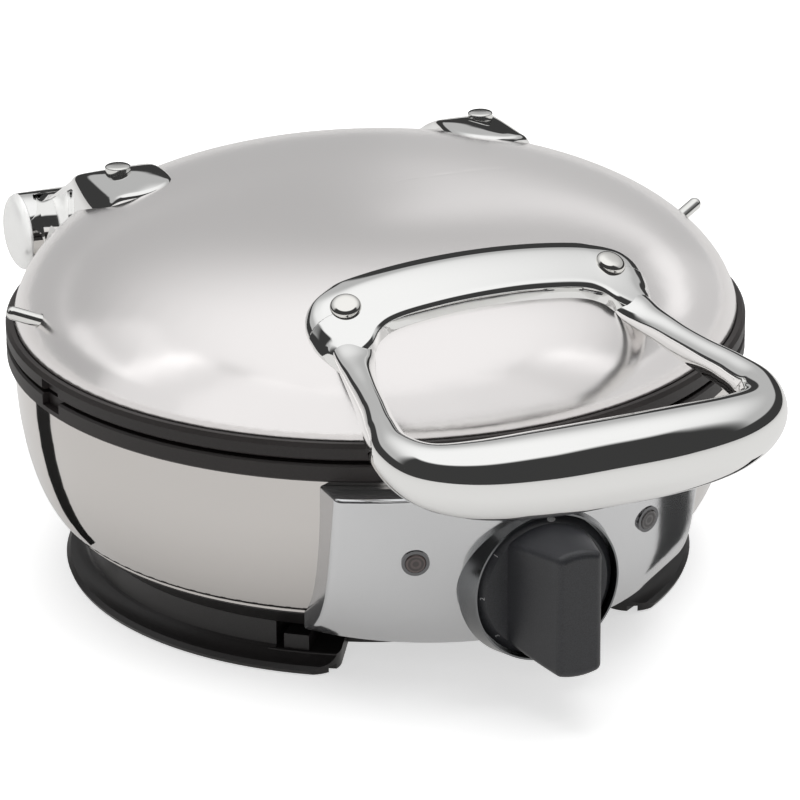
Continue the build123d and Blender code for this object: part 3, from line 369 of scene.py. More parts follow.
class Nodes:
    """The nodes of one material or world."""

    def __init__(self, owner):
        owner.use_nodes = True
        self.tree = owner.node_tree
        self.tree.nodes.clear()

    def node(self, kind, settings=None, inputs=None, output=0):
        """Adds a node, sets it up, fills its sockets and gives one of its outputs."""
        node = self.tree.nodes.new("ShaderNode" + kind)
        for name, value in (settings or {}).items():
            setattr(node, name, value)
        for name, value in (inputs or {}).items():
            if isinstance(value, Value):
                self.tree.links.new(value.socket, node.inputs[name])
            else:
                node.inputs[name].default_value = value
        if len(node.outputs) == 0:
            return None
        return Value(self.tree, node.outputs[output])

    def split(self, vector):
        """The three numbers of a vector."""
        parts = self.node("SeparateXYZ", inputs={0: vector}).socket.node.outputs
        return [Value(self.tree, part) for part in parts]

    def place(self):
        """The point on the object, in metres."""
        return self.node("TexCoord", output="Object")

    def noise(self, scale, detail=2.0, roughness=0.5):
        """Smooth noise between 0 and 1 at a scale per metre."""
        inputs = {"Vector": self.place(), "Scale": scale, "Detail": detail, "Roughness": roughness}
        return self.node("TexNoise", inputs=inputs)

    def smooth(self, value, start, end, low=0.0, high=1.0):
        """Goes smoothly from low to high as the value goes from start to end."""
        inputs = {"Value": value, "From Min": start, "From Max": end, "To Min": low, "To Max": high}
        return self.node("MapRange", {"interpolation_type": "SMOOTHSTEP"}, inputs)

    def blend(self, factor, first, second):
        """A colour between two colours."""
        inputs = {}
        for key, value in ((0, factor), (6, first), (7, second)):
            inputs[key] = value if isinstance(value, (Value, float)) else (*value[:3], 1.0)
        return self.node("Mix", {"data_type": "RGBA"}, inputs, output=2)

    def bump(self, height, strength, distance):
        """A normal that follows a height."""
        return self.node("Bump", inputs={"Height": height, "Strength": strength, "Distance": distance})


def finish(name, sockets, detail=None):
    """A material: plain values for its shader, and what the detail function adds.

    The detail function gets the material's nodes and returns the shader sockets
    that vary over the surface.
    """
    material = bpy.data.materials.new(name)
    nodes = Nodes(material)
    inputs = dict(sockets)
    if "Base Color" in inputs:
        inputs["Base Color"] = (*inputs["Base Color"][:3], 1.0)
    if detail:
        inputs.update(detail(nodes))
    shader = nodes.node("BsdfPrincipled", inputs=inputs)
    nodes.node("OutputMaterial", inputs={"Surface": shader})
    return material


def grid_shell(points, capped=True):
    """Vertices and faces of a grid of points.

    Row i and column j of the grid give vertex i * columns + j. Each face joins
    (i, j), (i, j + 1), (i + 1, j + 1) and (i + 1, j), and the last column is
    joined to the first. A cap closes each end row with a fan of triangles on
    the row's mean point.
    """
    rows, columns = points.shape[:2]
    index = np.arange(rows * columns).reshape(rows, columns)
    wrapped = np.concatenate([index, index[:, :1]], axis=1)
    corners = [wrapped[:-1, :-1], wrapped[:-1, 1:], wrapped[1:, 1:], wrapped[1:, :-1]]
    faces = np.stack(corners, axis=-1).reshape(-1, 4).tolist()
    vertices = points.reshape(-1, 3)
    end_rows = (0, -1) if capped else ()
    for row in end_rows:
        ring = wrapped[row]
        middle = len(vertices)
        vertices = np.vstack([vertices, points[row].mean(axis=0)])
        fan = np.stack([ring[1:], ring[:-1], np.full(len(ring) - 1, middle)], axis=-1)
        faces += (fan if row == 0 else fan[:, ::-1]).tolist()
    return vertices, faces


def volume(vertices, faces):
    """Signed volume: a sixth of the sum of the triple products of each face's fan of triangles."""
    total = 0.0
    quads = np.array([face for face in faces if len(face) == 4]).reshape(-1, 4)
    triangles = np.array([face for face in faces if len(face) == 3]).reshape(-1, 3)
    for part in (triangles, quads[:, [0, 1, 2]], quads[:, [0, 2, 3]]):
        a, b, c = (vertices[part[:, k]] for k in range(3))
        total += np.einsum("ij,ij->i", a, np.cross(b, c)).sum() / 6
    return total


def welded(points, faces):
    """A shell without doubled points and without faces that have shrunk to a line."""
    same_within = 1e-7
    keys = np.round(points / same_within).astype(np.int64)
    first, places = np.unique(keys, axis=0, return_index=True, return_inverse=True)[1:]
    places = places.reshape(-1)
    merged = [list(dict.fromkeys(places[face].tolist())) for face in faces]
    return points[first], [face for face in merged if len(face) > 2]


def slab(edge, core, under, over, width, drop):
    """A shell between two surfaces inside a closed outline, with a rounded top edge.

    Edge and core are rows of (x, y): the outline and the line inside it that
    each of its points is joined to. The rows of the grid go from the core out
    along the lower surface, up the wall, round the edge and back to the core
    along the upper surface. At angle a of the rounding the point lies
    width * (1 - cos a) inside the outline and drop * (1 - sin a) under the
    upper surface.
    """
    ahead = np.roll(edge, -1, axis=0) - np.roll(edge, 1, axis=0)
    ahead /= np.linalg.norm(ahead, axis=1, keepdims=True)
    inward = np.stack([-ahead[:, 1], ahead[:, 0]], axis=1)
    following = np.roll(edge, -1, axis=0)
    area = (edge[:, 0] * following[:, 1] - edge[:, 1] * following[:, 0]).sum()
    inward *= np.sign(area)
    underside = (0.0, 0.5, 1.0)
    wall = (0.35, 0.7, 1.0)
    rounding = np.linspace(9, 90, 10)
    top = np.linspace(0.08, 1.0, 14)
    rows = []
    for share in underside:
        plan = core + (edge - core) * share
        rows.append((plan, under(*plan.T)))
    low, high = under(*edge.T), over(*edge.T) - drop
    for share in wall:
        rows.append((edge, low + (high - low) * share))
    for angle in np.radians(rounding):
        plan = edge + inward * (width * (1 - math.cos(angle)))[:, None]
        rows.append((plan, over(*plan.T) - drop * (1 - math.sin(angle))))
    last = rows[-1][0]
    for share in top:
        plan = last + (core - last) * share
        rows.append((plan, over(*plan.T)))
    points = np.array([np.column_stack([plan, height]) for plan, height in rows])
    return grid_shell(points, capped=False)


def softly_lower(first, second, softness):
    """The lower of two heights, rounded where they cross.

    It is their mean less half the root of difference ** 2 + softness ** 2.
    """
    return (first + second - np.sqrt((first - second) ** 2 + softness**2)) / 2


def soft_ramp(value, softness):
    """Nothing far below zero and the value far above it, with a soft turn between.

    It is (value + root of value ** 2 + softness) / 2.
    """
    return (value + np.sqrt(value**2 + softness)) / 2


def smooth_step(value, start, end):
    """Goes smoothly from 0 to 1 as the value goes from start to end."""
    share = np.clip((value - start) / (end - start), 0, 1)
    return share * share * (3 - 2 * share)


def mirrored(shell):
    """A shell's mirror image across the middle plane."""
    vertices, faces = shell
    return vertices * np.array([-1.0, 1.0, 1.0]), faces


def both_halves(half):
    """Rows from the middle out to the right, led by their mirror images from the left."""
    half = np.array(half)
    other = half[:0:-1].copy()
    other[:, 0] *= -1
    return np.vstack([other, half])


def joined(shells):
    """The vertices and the faces of several shells as those of one."""
    vertices, faces, start = [], [], 0
    for points, shell_faces in shells:
        vertices.append(points)
        faces += [[k + start for k in face] for face in shell_faces]
        start += len(points)
    return np.vstack(vertices), faces


def facing_out(shell):
    """A closed shell, welded, with its faces turned so that they point outwards."""
    points, faces = welded(*shell)
    if volume(points, faces) < 0:
        faces = [face[::-1] for face in faces]
    return points, faces


def make_piece(name, shells, material, body, replaces=(), crease=None):
    """One object from closed shells, which rides on a body and may replace CAD nodes."""
    vertices, faces = joined([facing_out(shell) for shell in shells])
    mesh = bpy.data.meshes.new(name)
    mesh.from_pydata(vertices, [], faces)
    mesh.polygons.foreach_set("use_smooth", np.ones(len(mesh.polygons), dtype=bool))
    if crease is not None:
        mesh.set_sharp_from_angle(angle=crease)
    mesh.validate()
    mesh.update()
    piece = bpy.data.objects.new(name, mesh)
    bpy.context.scene.collection.objects.link(piece)
    mesh.materials.append(material)
    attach(piece, body)
    if replaces:
        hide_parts(*replaces)
    return piece


def turned(profile, origin, axis, steps=96):
    """A profile turned about an axis.

    The point at (radius, along) and angle t lies at origin + along * axis +
    radius * (side * cos t + other * sin t), where side and other are square to
    the axis and to each other.
    """
    axis = np.array(axis, dtype=float)
    axis /= np.linalg.norm(axis)
    steep = abs(axis[2]) >= 0.9
    helper = np.array([1.0, 0.0, 0.0] if steep else [0.0, 0.0, 1.0])
    side = np.cross(helper, axis)
    side /= np.linalg.norm(side)
    other = np.cross(axis, side)
    t = np.linspace(0, 2 * np.pi, steps, endpoint=False)
    circle = np.cos(t)[:, None] * side + np.sin(t)[:, None] * other
    profile = np.array(profile, dtype=float)
    radius, along = profile[:, 0], profile[:, 1]
    return np.array(origin) + along[:, None, None] * axis + radius[:, None, None] * circle[None]


def rounded_top(radius, low, high, squareness, steps):
    """Profile of a crown: radius * cos(s) ** squareness at low + (high - low) * sin(s)."""
    near_axis = 0.02
    s = np.radians(np.linspace(0, 90, steps))[:-1]
    across = radius * np.cos(s) ** squareness
    along = low + (high - low) * np.sin(s)
    return [*zip(across, along), (near_axis * radius, high)]


def smooth_through(points, count):
    """Points along a smooth curve through the given rows.

    Between two rows the curve is a cubic whose slopes are half the difference
    of the neighbouring rows.
    """
    points = np.array(points, dtype=float)
    slopes = np.gradient(points, axis=0)
    s = np.linspace(0, len(points) - 1, count)
    k = np.clip(s.astype(int), 0, len(points) - 2)
    t = (s - k)[:, None]
    start, end = points[k], points[k + 1]
    h00 = 2 * t**3 - 3 * t**2 + 1
    h10 = t**3 - 2 * t**2 + t
    h01 = 3 * t**2 - 2 * t**3
    h11 = t**3 - t**2
    return h00 * start + h10 * slopes[k] + h01 * end + h11 * slopes[k + 1]


def dome_height(x, y):
    """Height of the dome at a place, in metres.

    At the distance r from the axis it is
    rim_height + rise * (1 - (r / radius) ** roundness) ** (1 / flatness).
    """
    sizes = bpy.context.scene.dome_sizes
    r = np.hypot(x, y - body_axis_y) / sizes.radius
    inside = np.clip(1 - np.clip(r, 0, 1) ** sizes.roundness, 0, 1)
    return sizes.rim_height + sizes.rise * inside ** (1 / sizes.flatness)


def dome_normals(x, y):
    """Outward normals of the dome, from differences of its height."""
    step = 0.05 * MM
    slope_x = (dome_height(x + step, y) - dome_height(x - step, y)) / (2 * step)
    slope_y = (dome_height(x, y + step) - dome_height(x, y - step)) / (2 * step)
    normals = np.stack([-slope_x, -slope_y, np.ones_like(slope_x)], axis=-1)
    return normals / np.linalg.norm(normals, axis=-1, keepdims=True)


def on_body(points):
    """Places in metres from millimetres about the body's upright axis."""
    return np.array(points) * MM + np.array([0.0, body_axis_y, 0.0])


def shaded(colour, factor):
    """A colour made darker or lighter."""
    return tuple(factor * part for part in colour)


def buffed(roughness, uneven, lift=0.0):
    """Detail of a polished metal: roughness that wanders and, with a lift, a very faint waviness."""
    scratch_scale, cloud_scale, wave_scale = 900.0, 14.0, 7.0
    cloud_share = 0.8
    wave_strength = 0.3

    def detail(nodes):
        scratches = nodes.noise(scratch_scale, detail=3.0) - 0.5
        clouds = nodes.noise(cloud_scale) - 0.5
        sockets = {"Roughness": scratches * uneven + clouds * (cloud_share * uneven) + roughness}
        if lift:
            waves = nodes.noise(wave_scale, detail=1.0)
            sockets["Normal"] = nodes.bump(waves, wave_strength, lift)
        return sockets

    return detail


def moulded(colour, roughness, grain, depth):
    """Detail of moulded plastic: a fine grain in its height, gloss and colour."""
    cloud_scale = 22.0
    darker, lighter = shaded(colour, 0.72), shaded(colour, 1.30)
    fine_gloss, broad_gloss = 0.22, 0.08
    grain_strength = 0.35

    def detail(nodes):
        fine = nodes.noise(grain, roughness=0.6)
        broad = nodes.noise(cloud_scale, detail=3.0)
        mask = nodes.smooth(fine * 0.7 + broad * 0.3, 0.32, 0.68)
        return {
            "Base Color": nodes.blend(mask, darker, lighter),
            "Roughness": (fine - 0.5) * fine_gloss + (broad - 0.5) * broad_gloss + roughness,
            "Normal": nodes.bump(fine, grain_strength, depth),
        }

    return detail


def plated(colour, roughness, scale=260.0):
    """Detail of plain metal: clouded colour and gloss."""
    darker = shaded(colour, 0.86)
    uneven = 0.25

    def detail(nodes):
        cloud = nodes.noise(scale, detail=4.0)
        return {
            "Base Color": nodes.blend(cloud, darker, colour),
            "Roughness": (cloud - 0.5) * uneven + roughness,
        }

    return detail


def steel(name, colour, roughness, uneven, lift=0.0):
    """A bare polished metal."""
    return finish(name, {"Base Color": colour, "Metallic": 1.0}, buffed(roughness, uneven, lift))


def plastic(name, colour, roughness, grain=2600.0, depth=0.00006, coat=0.0):
    """A moulded plastic or rubber."""
    sockets = {"Specular IOR Level": 0.5, "Coat Weight": coat, "Coat Roughness": 0.3}
    return finish(name, sockets, moulded(tuple(colour), roughness, grain, depth))


def dress(material, *nodes):
    """Gives CAD nodes their finish."""
    for node in nodes:
        mesh = frame["nodes"][node].data
        mesh.materials.clear()
        mesh.materials.append(material)


def flat_sheet(name, corners, material):
    """One face with four corners, as an object of its own."""
    mesh = bpy.data.meshes.new(name)
    mesh.from_pydata(corners, [], [(0, 1, 2, 3)])
    mesh.materials.append(material)
    sheet = bpy.data.objects.new(name, mesh)
    bpy.context.scene.collection.objects.link(sheet)
    return sheet


def area_lamp(name, spot, aim, wide, high, power):
    """A lamp of this width and height at a spot, which shines along the aim and isn't seen itself."""
    lamp = bpy.data.lights.new(name, "AREA")
    lamp.shape = "RECTANGLE"
    lamp.size = wide
    lamp.size_y = high
    lamp.energy = power
    holder = bpy.data.objects.new(name, lamp)
    holder.location = spot
    holder.rotation_euler = aim.to_track_quat("-Z", "Y").to_euler()
    holder.visible_camera = False
    bpy.context.scene.collection.objects.link(holder)
    return holder


class WAFFLE_OT_studio(bpy.types.Operator):
    """Lay the pale floor, light the studio and set the camera"""

    bl_idname = "waffle.studio"
    bl_label = "Studio"

    def execute(self, context):
        sizes = context.scene.stage_sizes
        self.lay_floor(sizes)
        self.paint_sky(context, sizes)
        self.hang_lamps(sizes)
        self.light_dome(sizes)
        self.place_cards()
        self.set_camera(context)
        context.scene.view_settings.view_transform = "Standard"
        return {"FINISHED"}

    def lay_floor(self, sizes):
        """A flat floor that the camera and the metal see nearly white, with shadows."""
        cream = (1.0, 0.985, 0.965, 1.0)
        dimmed_to = 0.45
        material = bpy.data.materials.new("pale_floor")
        nodes = Nodes(material)
        colour = np.array(sizes.floor_colour)
        matte = nodes.node("BsdfDiffuse", inputs={"Color": (*colour, 1.0)})
        glow = nodes.node("Emission", inputs={"Color": WHITE, "Strength": sizes.floor_glow})
        dim = nodes.node("BsdfDiffuse", inputs={"Color": (*(dimmed_to * colour), 1.0)})
        shine = nodes.node("Emission", inputs={"Color": cream, "Strength": sizes.floor_shine})
        seen = nodes.node("AddShader", inputs={0: matte, 1: glow})
        shown = nodes.node("AddShader", inputs={0: dim, 1: shine})
        camera, glossy, through = (
            nodes.node("LightPath", output="Is %s Ray" % name)
            for name in ("Camera", "Glossy", "Transmission")
        )
        shader = nodes.node("MixShader", inputs={0: glossy.most(through), 1: matte, 2: shown})
        shader = nodes.node("MixShader", inputs={0: camera, 1: shader, 2: seen})
        nodes.node("OutputMaterial", inputs={"Surface": shader})
        half = sizes.floor_size / 2
        corners = [(-half, -half, 0), (half, -half, 0), (half, half, 0), (-half, half, 0)]
        floor = flat_sheet("floor", corners, material)

    def paint_sky(self, context, sizes):
        """A sky that is white above and dark low down, with grey between them behind the object.

        With d the direction, the height is d.z and the front is the part of d
        that points from the object to the camera. In front the dark reaches up
        to about 57 degrees, behind to about 18.
        """
        front_begins = (-0.05, 0.30)
        grey_begins = (0.30, 0.345)
        grey_turns_white = (0.46, 0.95)
        white_in_front = (0.80, 0.86)
        world = bpy.data.worlds.new("studio")
        context.scene.world = world
        nodes = Nodes(world)
        x, y, z = nodes.split(nodes.node("TexCoord", output="Generated"))
        flat = (x * x + y * y).root().most(0.001)
        front = (x * TOWARDS_CAMERA.x + y * TOWARDS_CAMERA.y) / flat
        ahead = nodes.smooth(front, *front_begins)
        dark, low = sizes.dark_level, sizes.low_sky
        grey = nodes.smooth(z, *grey_begins, dark, low)
        behind = grey + nodes.smooth(z, *grey_turns_white, 0.0, 1.0 - low)
        before = nodes.smooth(z, *white_in_front, dark, 1.0)
        level = behind * (1 - ahead) + before * ahead
        camera = nodes.node("LightPath", output="Is Camera Ray")
        strength = level * (1 - camera) + camera
        background = nodes.node("Background", inputs={"Color": WHITE, "Strength": strength})
        nodes.node("OutputWorld", inputs={"Surface": background})

    def hang_lamps(self, sizes):
        """Two large soft lamps that light the matte surfaces and cast the shadow."""
        target = Vector((0.0, 0.0, 0.08))
        for name, spot, wide, power in (
            ("overhead", (0.25, 0.25, 1.7), 1.6, sizes.lamp_power),
            ("fill", (-1.3, -1.9, 1.0), 1.4, 0.5 * sizes.lamp_power),
        ):
            lamp = area_lamp(name, spot, target - Vector(spot), wide, wide, power)
            lamp.visible_glossy = False

    def light_dome(self, sizes):
        """A ring of walls of light that only the dome and the caps show, where the studio is dark.

        Wall k stands square to the direction 15 + 30 * k degrees from the front
        and is 2 * distance * tan 15 degrees wide. The walls in front are tall,
        and those at the front left are the brightest.
        """
        distance = 2.5
        above_floor = 0.02
        half_angle = math.radians(15)
        wide = 2 * distance * math.tan(half_angle)
        front = TOWARDS_CAMERA
        side = Vector((-front.y, front.x, 0.0))
        receivers = bpy.data.collections.new("dome_only")
        receivers.objects.link(frame["nodes"]["dome_shell"])
        for k, high, level in DOME_WALLS:
            bearing = (2 * k + 1) * half_angle
            outward = math.cos(bearing) * front + math.sin(bearing) * side
            spot = distance * outward + Vector((0.0, 0.0, high / 2 + above_floor))
            power = sizes.wall_light * level * math.pi * wide * high
            lamp = area_lamp("wall_%d" % k, spot, -outward, wide, high, power)
            lamp.light_linking.receiver_collection = receivers

    def place_cards(self):
        """Two dark cards on the floor that only polished surfaces show."""
        above_floor = 0.3
        cards = {
            "card_left": [(-133, 22), (-145, 13), (-258, 178), (-216, 205)],
            "card_right": [(84, -123), (160, -176), (178, -132), (118, -112)],
        }
        dark = finish("card_black", {"Base Color": (0.01, 0.01, 0.01), "Roughness": 1.0})
        for name, corners in cards.items():
            points = on_body([(x, y, above_floor) for x, y in corners])
            card = flat_sheet(name, points.tolist(), dark)
            card.visible_camera = False
            card.visible_diffuse = False
            card.visible_shadow = False

    def set_camera(self, context):
        """The camera of the photograph: its three axes and its place."""
        camera = bpy.data.cameras.new("camera")
        camera.sensor_width = 36.0
        camera.lens = 189.93
        camera.clip_end = 50.0
        right = Vector((0.914978, -0.4034122, -0.0085943))
        up = Vector((0.15939716, 0.34179736, 0.92615717))
        back = Vector((-0.3706856, -0.84878334, 0.37703982))
        turn = Matrix((right, up, back)).transposed()
        place = Vector(on_body((-624.693, -1454.074, 707.670)))
        holder = bpy.data.objects.new("camera", camera)
        holder.matrix_world = Matrix.Translation(place) @ turn.to_4x4()
        context.scene.collection.objects.link(holder)
        context.scene.camera = holder


class WAFFLE_OT_body(bpy.types.Operator):
    """Finish the bowl, the dome, the trim rings and the base"""

    bl_idname = "waffle.body"
    bl_label = "Body"

    def execute(self, context):
        colours = context.scene.finish_colours
        dome = steel("polished_dome", colours.dome, roughness=0.21, uneven=0.03)
        bowl = steel("polished_bowl", colours.bowl, roughness=0.055, uneven=0.03)
        trim = plastic("black_trim", colours.trim, roughness=0.50)
        base = plastic("black_base", colours.base, roughness=0.40, grain=2200.0, coat=0.15)
        rubber = plastic("foot_rubber", (0.03, 0.03, 0.03), roughness=0.8, grain=3200.0)
        dress(dome, "dome_shell")
        dress(bowl, "bowl_shell")
        dress(trim, "upper_trim_ring", "lower_trim_ring")
        dress(base, "base_skirt", "cord_clips", "bottom_cover", "hinge_bracket")
        dress(rubber, "rubber_feet", "cord_inlet_bush")
        return {"FINISHED"}


class WAFFLE_OT_plates(bpy.types.Operator):
    """Finish what the lid and the bowl hold: plates, shields, heaters and wiring"""

    bl_idname = "waffle.plates"
    bl_label = "Plates and inner parts"

    def execute(self, context):
        coating = finish(
            "nonstick_plate",
            {"Metallic": 0.35, "Specular IOR Level": 0.5},
            moulded((0.055, 0.053, 0.052), roughness=0.42, grain=3400.0, depth=0.00005),
        )
        metallic = {"Metallic": 1.0}
        shield = finish("shield_steel", metallic, plated((0.62, 0.62, 0.62), roughness=0.34))
        heater = finish("element_steel", metallic, plated((0.30, 0.27, 0.25), roughness=0.5))
        zinc = finish("plain_steel", metallic, plated((0.68, 0.68, 0.67), roughness=0.36, scale=500.0))
        nylon = plastic("white_nylon", (0.78, 0.77, 0.73), roughness=0.5)
        switch = plastic("brown_switch", (0.13, 0.07, 0.05), roughness=0.32)
        sleeve = plastic("lead_sleeve", (0.70, 0.69, 0.65), roughness=0.75, grain=4200.0, depth=0.0002)
        dress(coating, "lower_waffle_plate", "upper_waffle_plate")
        dress(shield, "lower_heat_shield", "upper_heat_shield")
        dress(heater, "lower_heating_element", "upper_heating_element")
        dress(nylon, "terminal_block", "lamp_holders", "hinge_bushes")
        dress(switch, "thermostat_switch")
        dress(sleeve, "internal_leads")
        dress(zinc, "lower_element_clips", "upper_element_clips", "cover_screws", "hinge_bracket_screws")
        dress(zinc, "lower_plate_screws", "upper_plate_screws", "lower_ring_screws", "upper_ring_screws")
        dress(zinc, "temperature_sensor", "thermal_fuse", "thermostat_spacer", "thermostat_nut")
        dress(zinc, "control_shaft", "hinge_shaft", "handle_backing_plate", "arm_backing_plates")
        return {"FINISHED"}


class WAFFLE_OT_handle(bpy.types.Operator):
    """Build the cast handle with its plate, its loop and its two rivets"""

    bl_idname = "waffle.handle"
    bl_label = "Handle"

    def execute(self, context):
        sizes = context.scene.handle_sizes
        colours = context.scene.finish_colours
        casting = steel("polished_cast", colours.casting, roughness=0.035, uneven=0.02, lift=0.00012)
        bright = steel("polished_steel", (0.88, 0.87, 0.84), roughness=0.05, uneven=0.02)
        make_piece("cast_handle", [self.plate(sizes), self.loop()], casting, "lid", ["handle"])
        rivets = [self.rivet(sizes, side) for side in (-1, 1)]
        crease = math.radians(40)
        make_piece("round_head_rivets", rivets, bright, "lid", ["handle_rivets"], crease)
        return {"FINISHED"}

    def loop(self):
        """An ellipse carried along the loop: centre + a * across * cos t + b * over * sin t.

        A row gives the centre's x, y and z and the half widths a and b in
        millimetres, from the middle of the bar to the right root in the plate.
        """
        half = [
            (0.0, -210.0, 117.0, 15.5, 16.5),
            (26.0, -209.5, 117.1, 15.3, 16.3),
            (50.0, -206.6, 117.8, 13.6, 14.9),
            (66.0, -199.0, 119.4, 10.9, 12.4),
            (72.8, -185.5, 122.4, 8.2, 9.8),
            (71.2, -170.0, 125.0, 6.6, 7.8),
            (67.4, -154.0, 126.6, 5.9, 6.8),
            (64.6, -141.0, 128.0, 5.7, 6.2),
            (62.3, -130.0, 129.8, 6.0, 5.6),
            (60.0, -121.0, 131.6, 7.0, 4.9),
            (57.6, -113.0, 134.0, 8.2, 4.3),
            (55.5, -105.0, 136.4, 8.2, 3.2),
        ]
        rows = smooth_through(both_halves(half), count=300)
        centres, a, b = rows[:, :3], rows[:, 3, None, None], rows[:, 4, None, None]
        along = np.gradient(centres, axis=0)
        along /= np.linalg.norm(along, axis=1, keepdims=True)
        tilt = math.radians(25)
        up = np.array([0.0, -math.sin(tilt), math.cos(tilt)])
        across = np.cross(up, along)
        across /= np.linalg.norm(across, axis=1, keepdims=True)
        over = np.cross(along, across)
        t = np.linspace(0, 2 * np.pi, 96, endpoint=False)[:, None]
        ring = centres[:, None] + a * across[:, None] * np.cos(t) + b * over[:, None] * np.sin(t)
        return grid_shell(on_body(ring))

    def outline(self, count):
        """The plate's plan in millimetres: places from left to right, with its back and front there."""
        back = [
            (0.0, -80.9), (20.0, -81.2), (40.0, -82.0), (52.0, -83.0), (60.5, -85.6),
            (66.0, -89.0), (69.3, -94.5), (70.2, -100.5),
        ]
        front = [
            (0.0, -109.7), (20.0, -109.7), (38.0, -109.9), (46.0, -112.0), (51.0, -116.0),
            (57.0, -118.0), (62.6, -117.6), (66.4, -112.0), (69.2, -106.0), (70.2, -100.5),
        ]
        half_wide = back[-1][0]
        places = -half_wide * np.cos(np.linspace(0, np.pi, count))
        back_y, front_y = (
            np.interp(places, *smooth_through(both_halves(line), count=4000).T)
            for line in (back, front)
        )
        return places, back_y, front_y

    def plate(self, sizes):
        """A rounded slab that follows the dome, thickens towards its back and bends down there.

        With n the bend's width less the distance from the back edge, the top
        lies slope * (n + root of n ** 2 + 2) / 2 millimetres lower. Round the
        ends n is smaller, and a steeper, narrow bend of the same kind is added.
        """
        core_half = 57.0
        below_dome = 2.0
        least_upright = 0.55
        end_starts, end_is_full = 50.0, 64.0
        end_narrowing, end_reach = 0.26, 2.6
        x, back_y, front_y = self.outline(count=150)
        middle_y = (back_y + front_y) / 2
        edge_x = np.concatenate([x, x[-2:0:-1]])
        edge = np.stack([edge_x, np.concatenate([front_y, back_y[-2:0:-1]])], axis=1)
        core_x = np.clip(edge_x, -core_half, core_half)
        core = np.stack([core_x, np.interp(core_x, x, middle_y)], axis=1)
        behind_middle = edge[:, 1] - np.interp(edge_x, x, middle_y)
        back_edge = edge[behind_middle > -8.0]
        towards_back = smooth_step(behind_middle, -9.0, 3.0)
        width = 2.4 - 1.1 * towards_back
        drop = 2.0 - 1.0 * towards_back

        def under(px, py):
            return dome_height(px * MM, py * MM + body_axis_y) / MM - below_dome

        def over(px, py):
            places = px * MM, py * MM + body_axis_y
            upright = np.maximum(dome_normals(*places)[:, 2], least_upright)
            crest = sizes.crest_rise * smooth_step(py - np.interp(px, x, middle_y), -13.0, 8.0)
            top = (dome_height(*places) + (sizes.plate_thickness + crest) / upright) / MM
            aside = px[:, None] - back_edge[:, 0]
            along = py[:, None] - back_edge[:, 1]
            distance = np.hypot(aside, along).min(axis=1)
            ends = smooth_step(np.abs(px), end_starts, end_is_full)
            reach = sizes.bend_width / MM * (1 - end_narrowing * ends)
            bend = sizes.bend_slope * soft_ramp(reach - distance, 2.0)
            bend += ends * soft_ramp(end_reach - distance, 0.3)
            return top - bend

        points, faces = slab(edge, core, under, over, width, drop)
        return on_body(points), faces

    def rivet(self, sizes, side):
        """A round head with a flat crown, turned about the dome's normal."""
        spot = (side * 53.75, -97.5, 0.0)
        sunk, gap = 1.5 * MM, 0.1 * MM
        r, h = sizes.rivet_radius, sizes.rivet_height
        inner, neck, wall = 0.5 * r, 0.955 * r, 0.18 * h
        x, y = on_body(spot)[:2]
        normal = dome_normals(np.array([x]), np.array([y]))[0]
        foot = np.array([x, y, dome_height(x, y)]) + normal * (sizes.plate_thickness + gap)
        shank = [(inner, -sunk), (neck, -sunk), (neck, 0.0)]
        crown = rounded_top(r, wall, h, squareness=0.55, steps=16)
        return grid_shell(turned(shank + crown, foot, normal, steps=64))


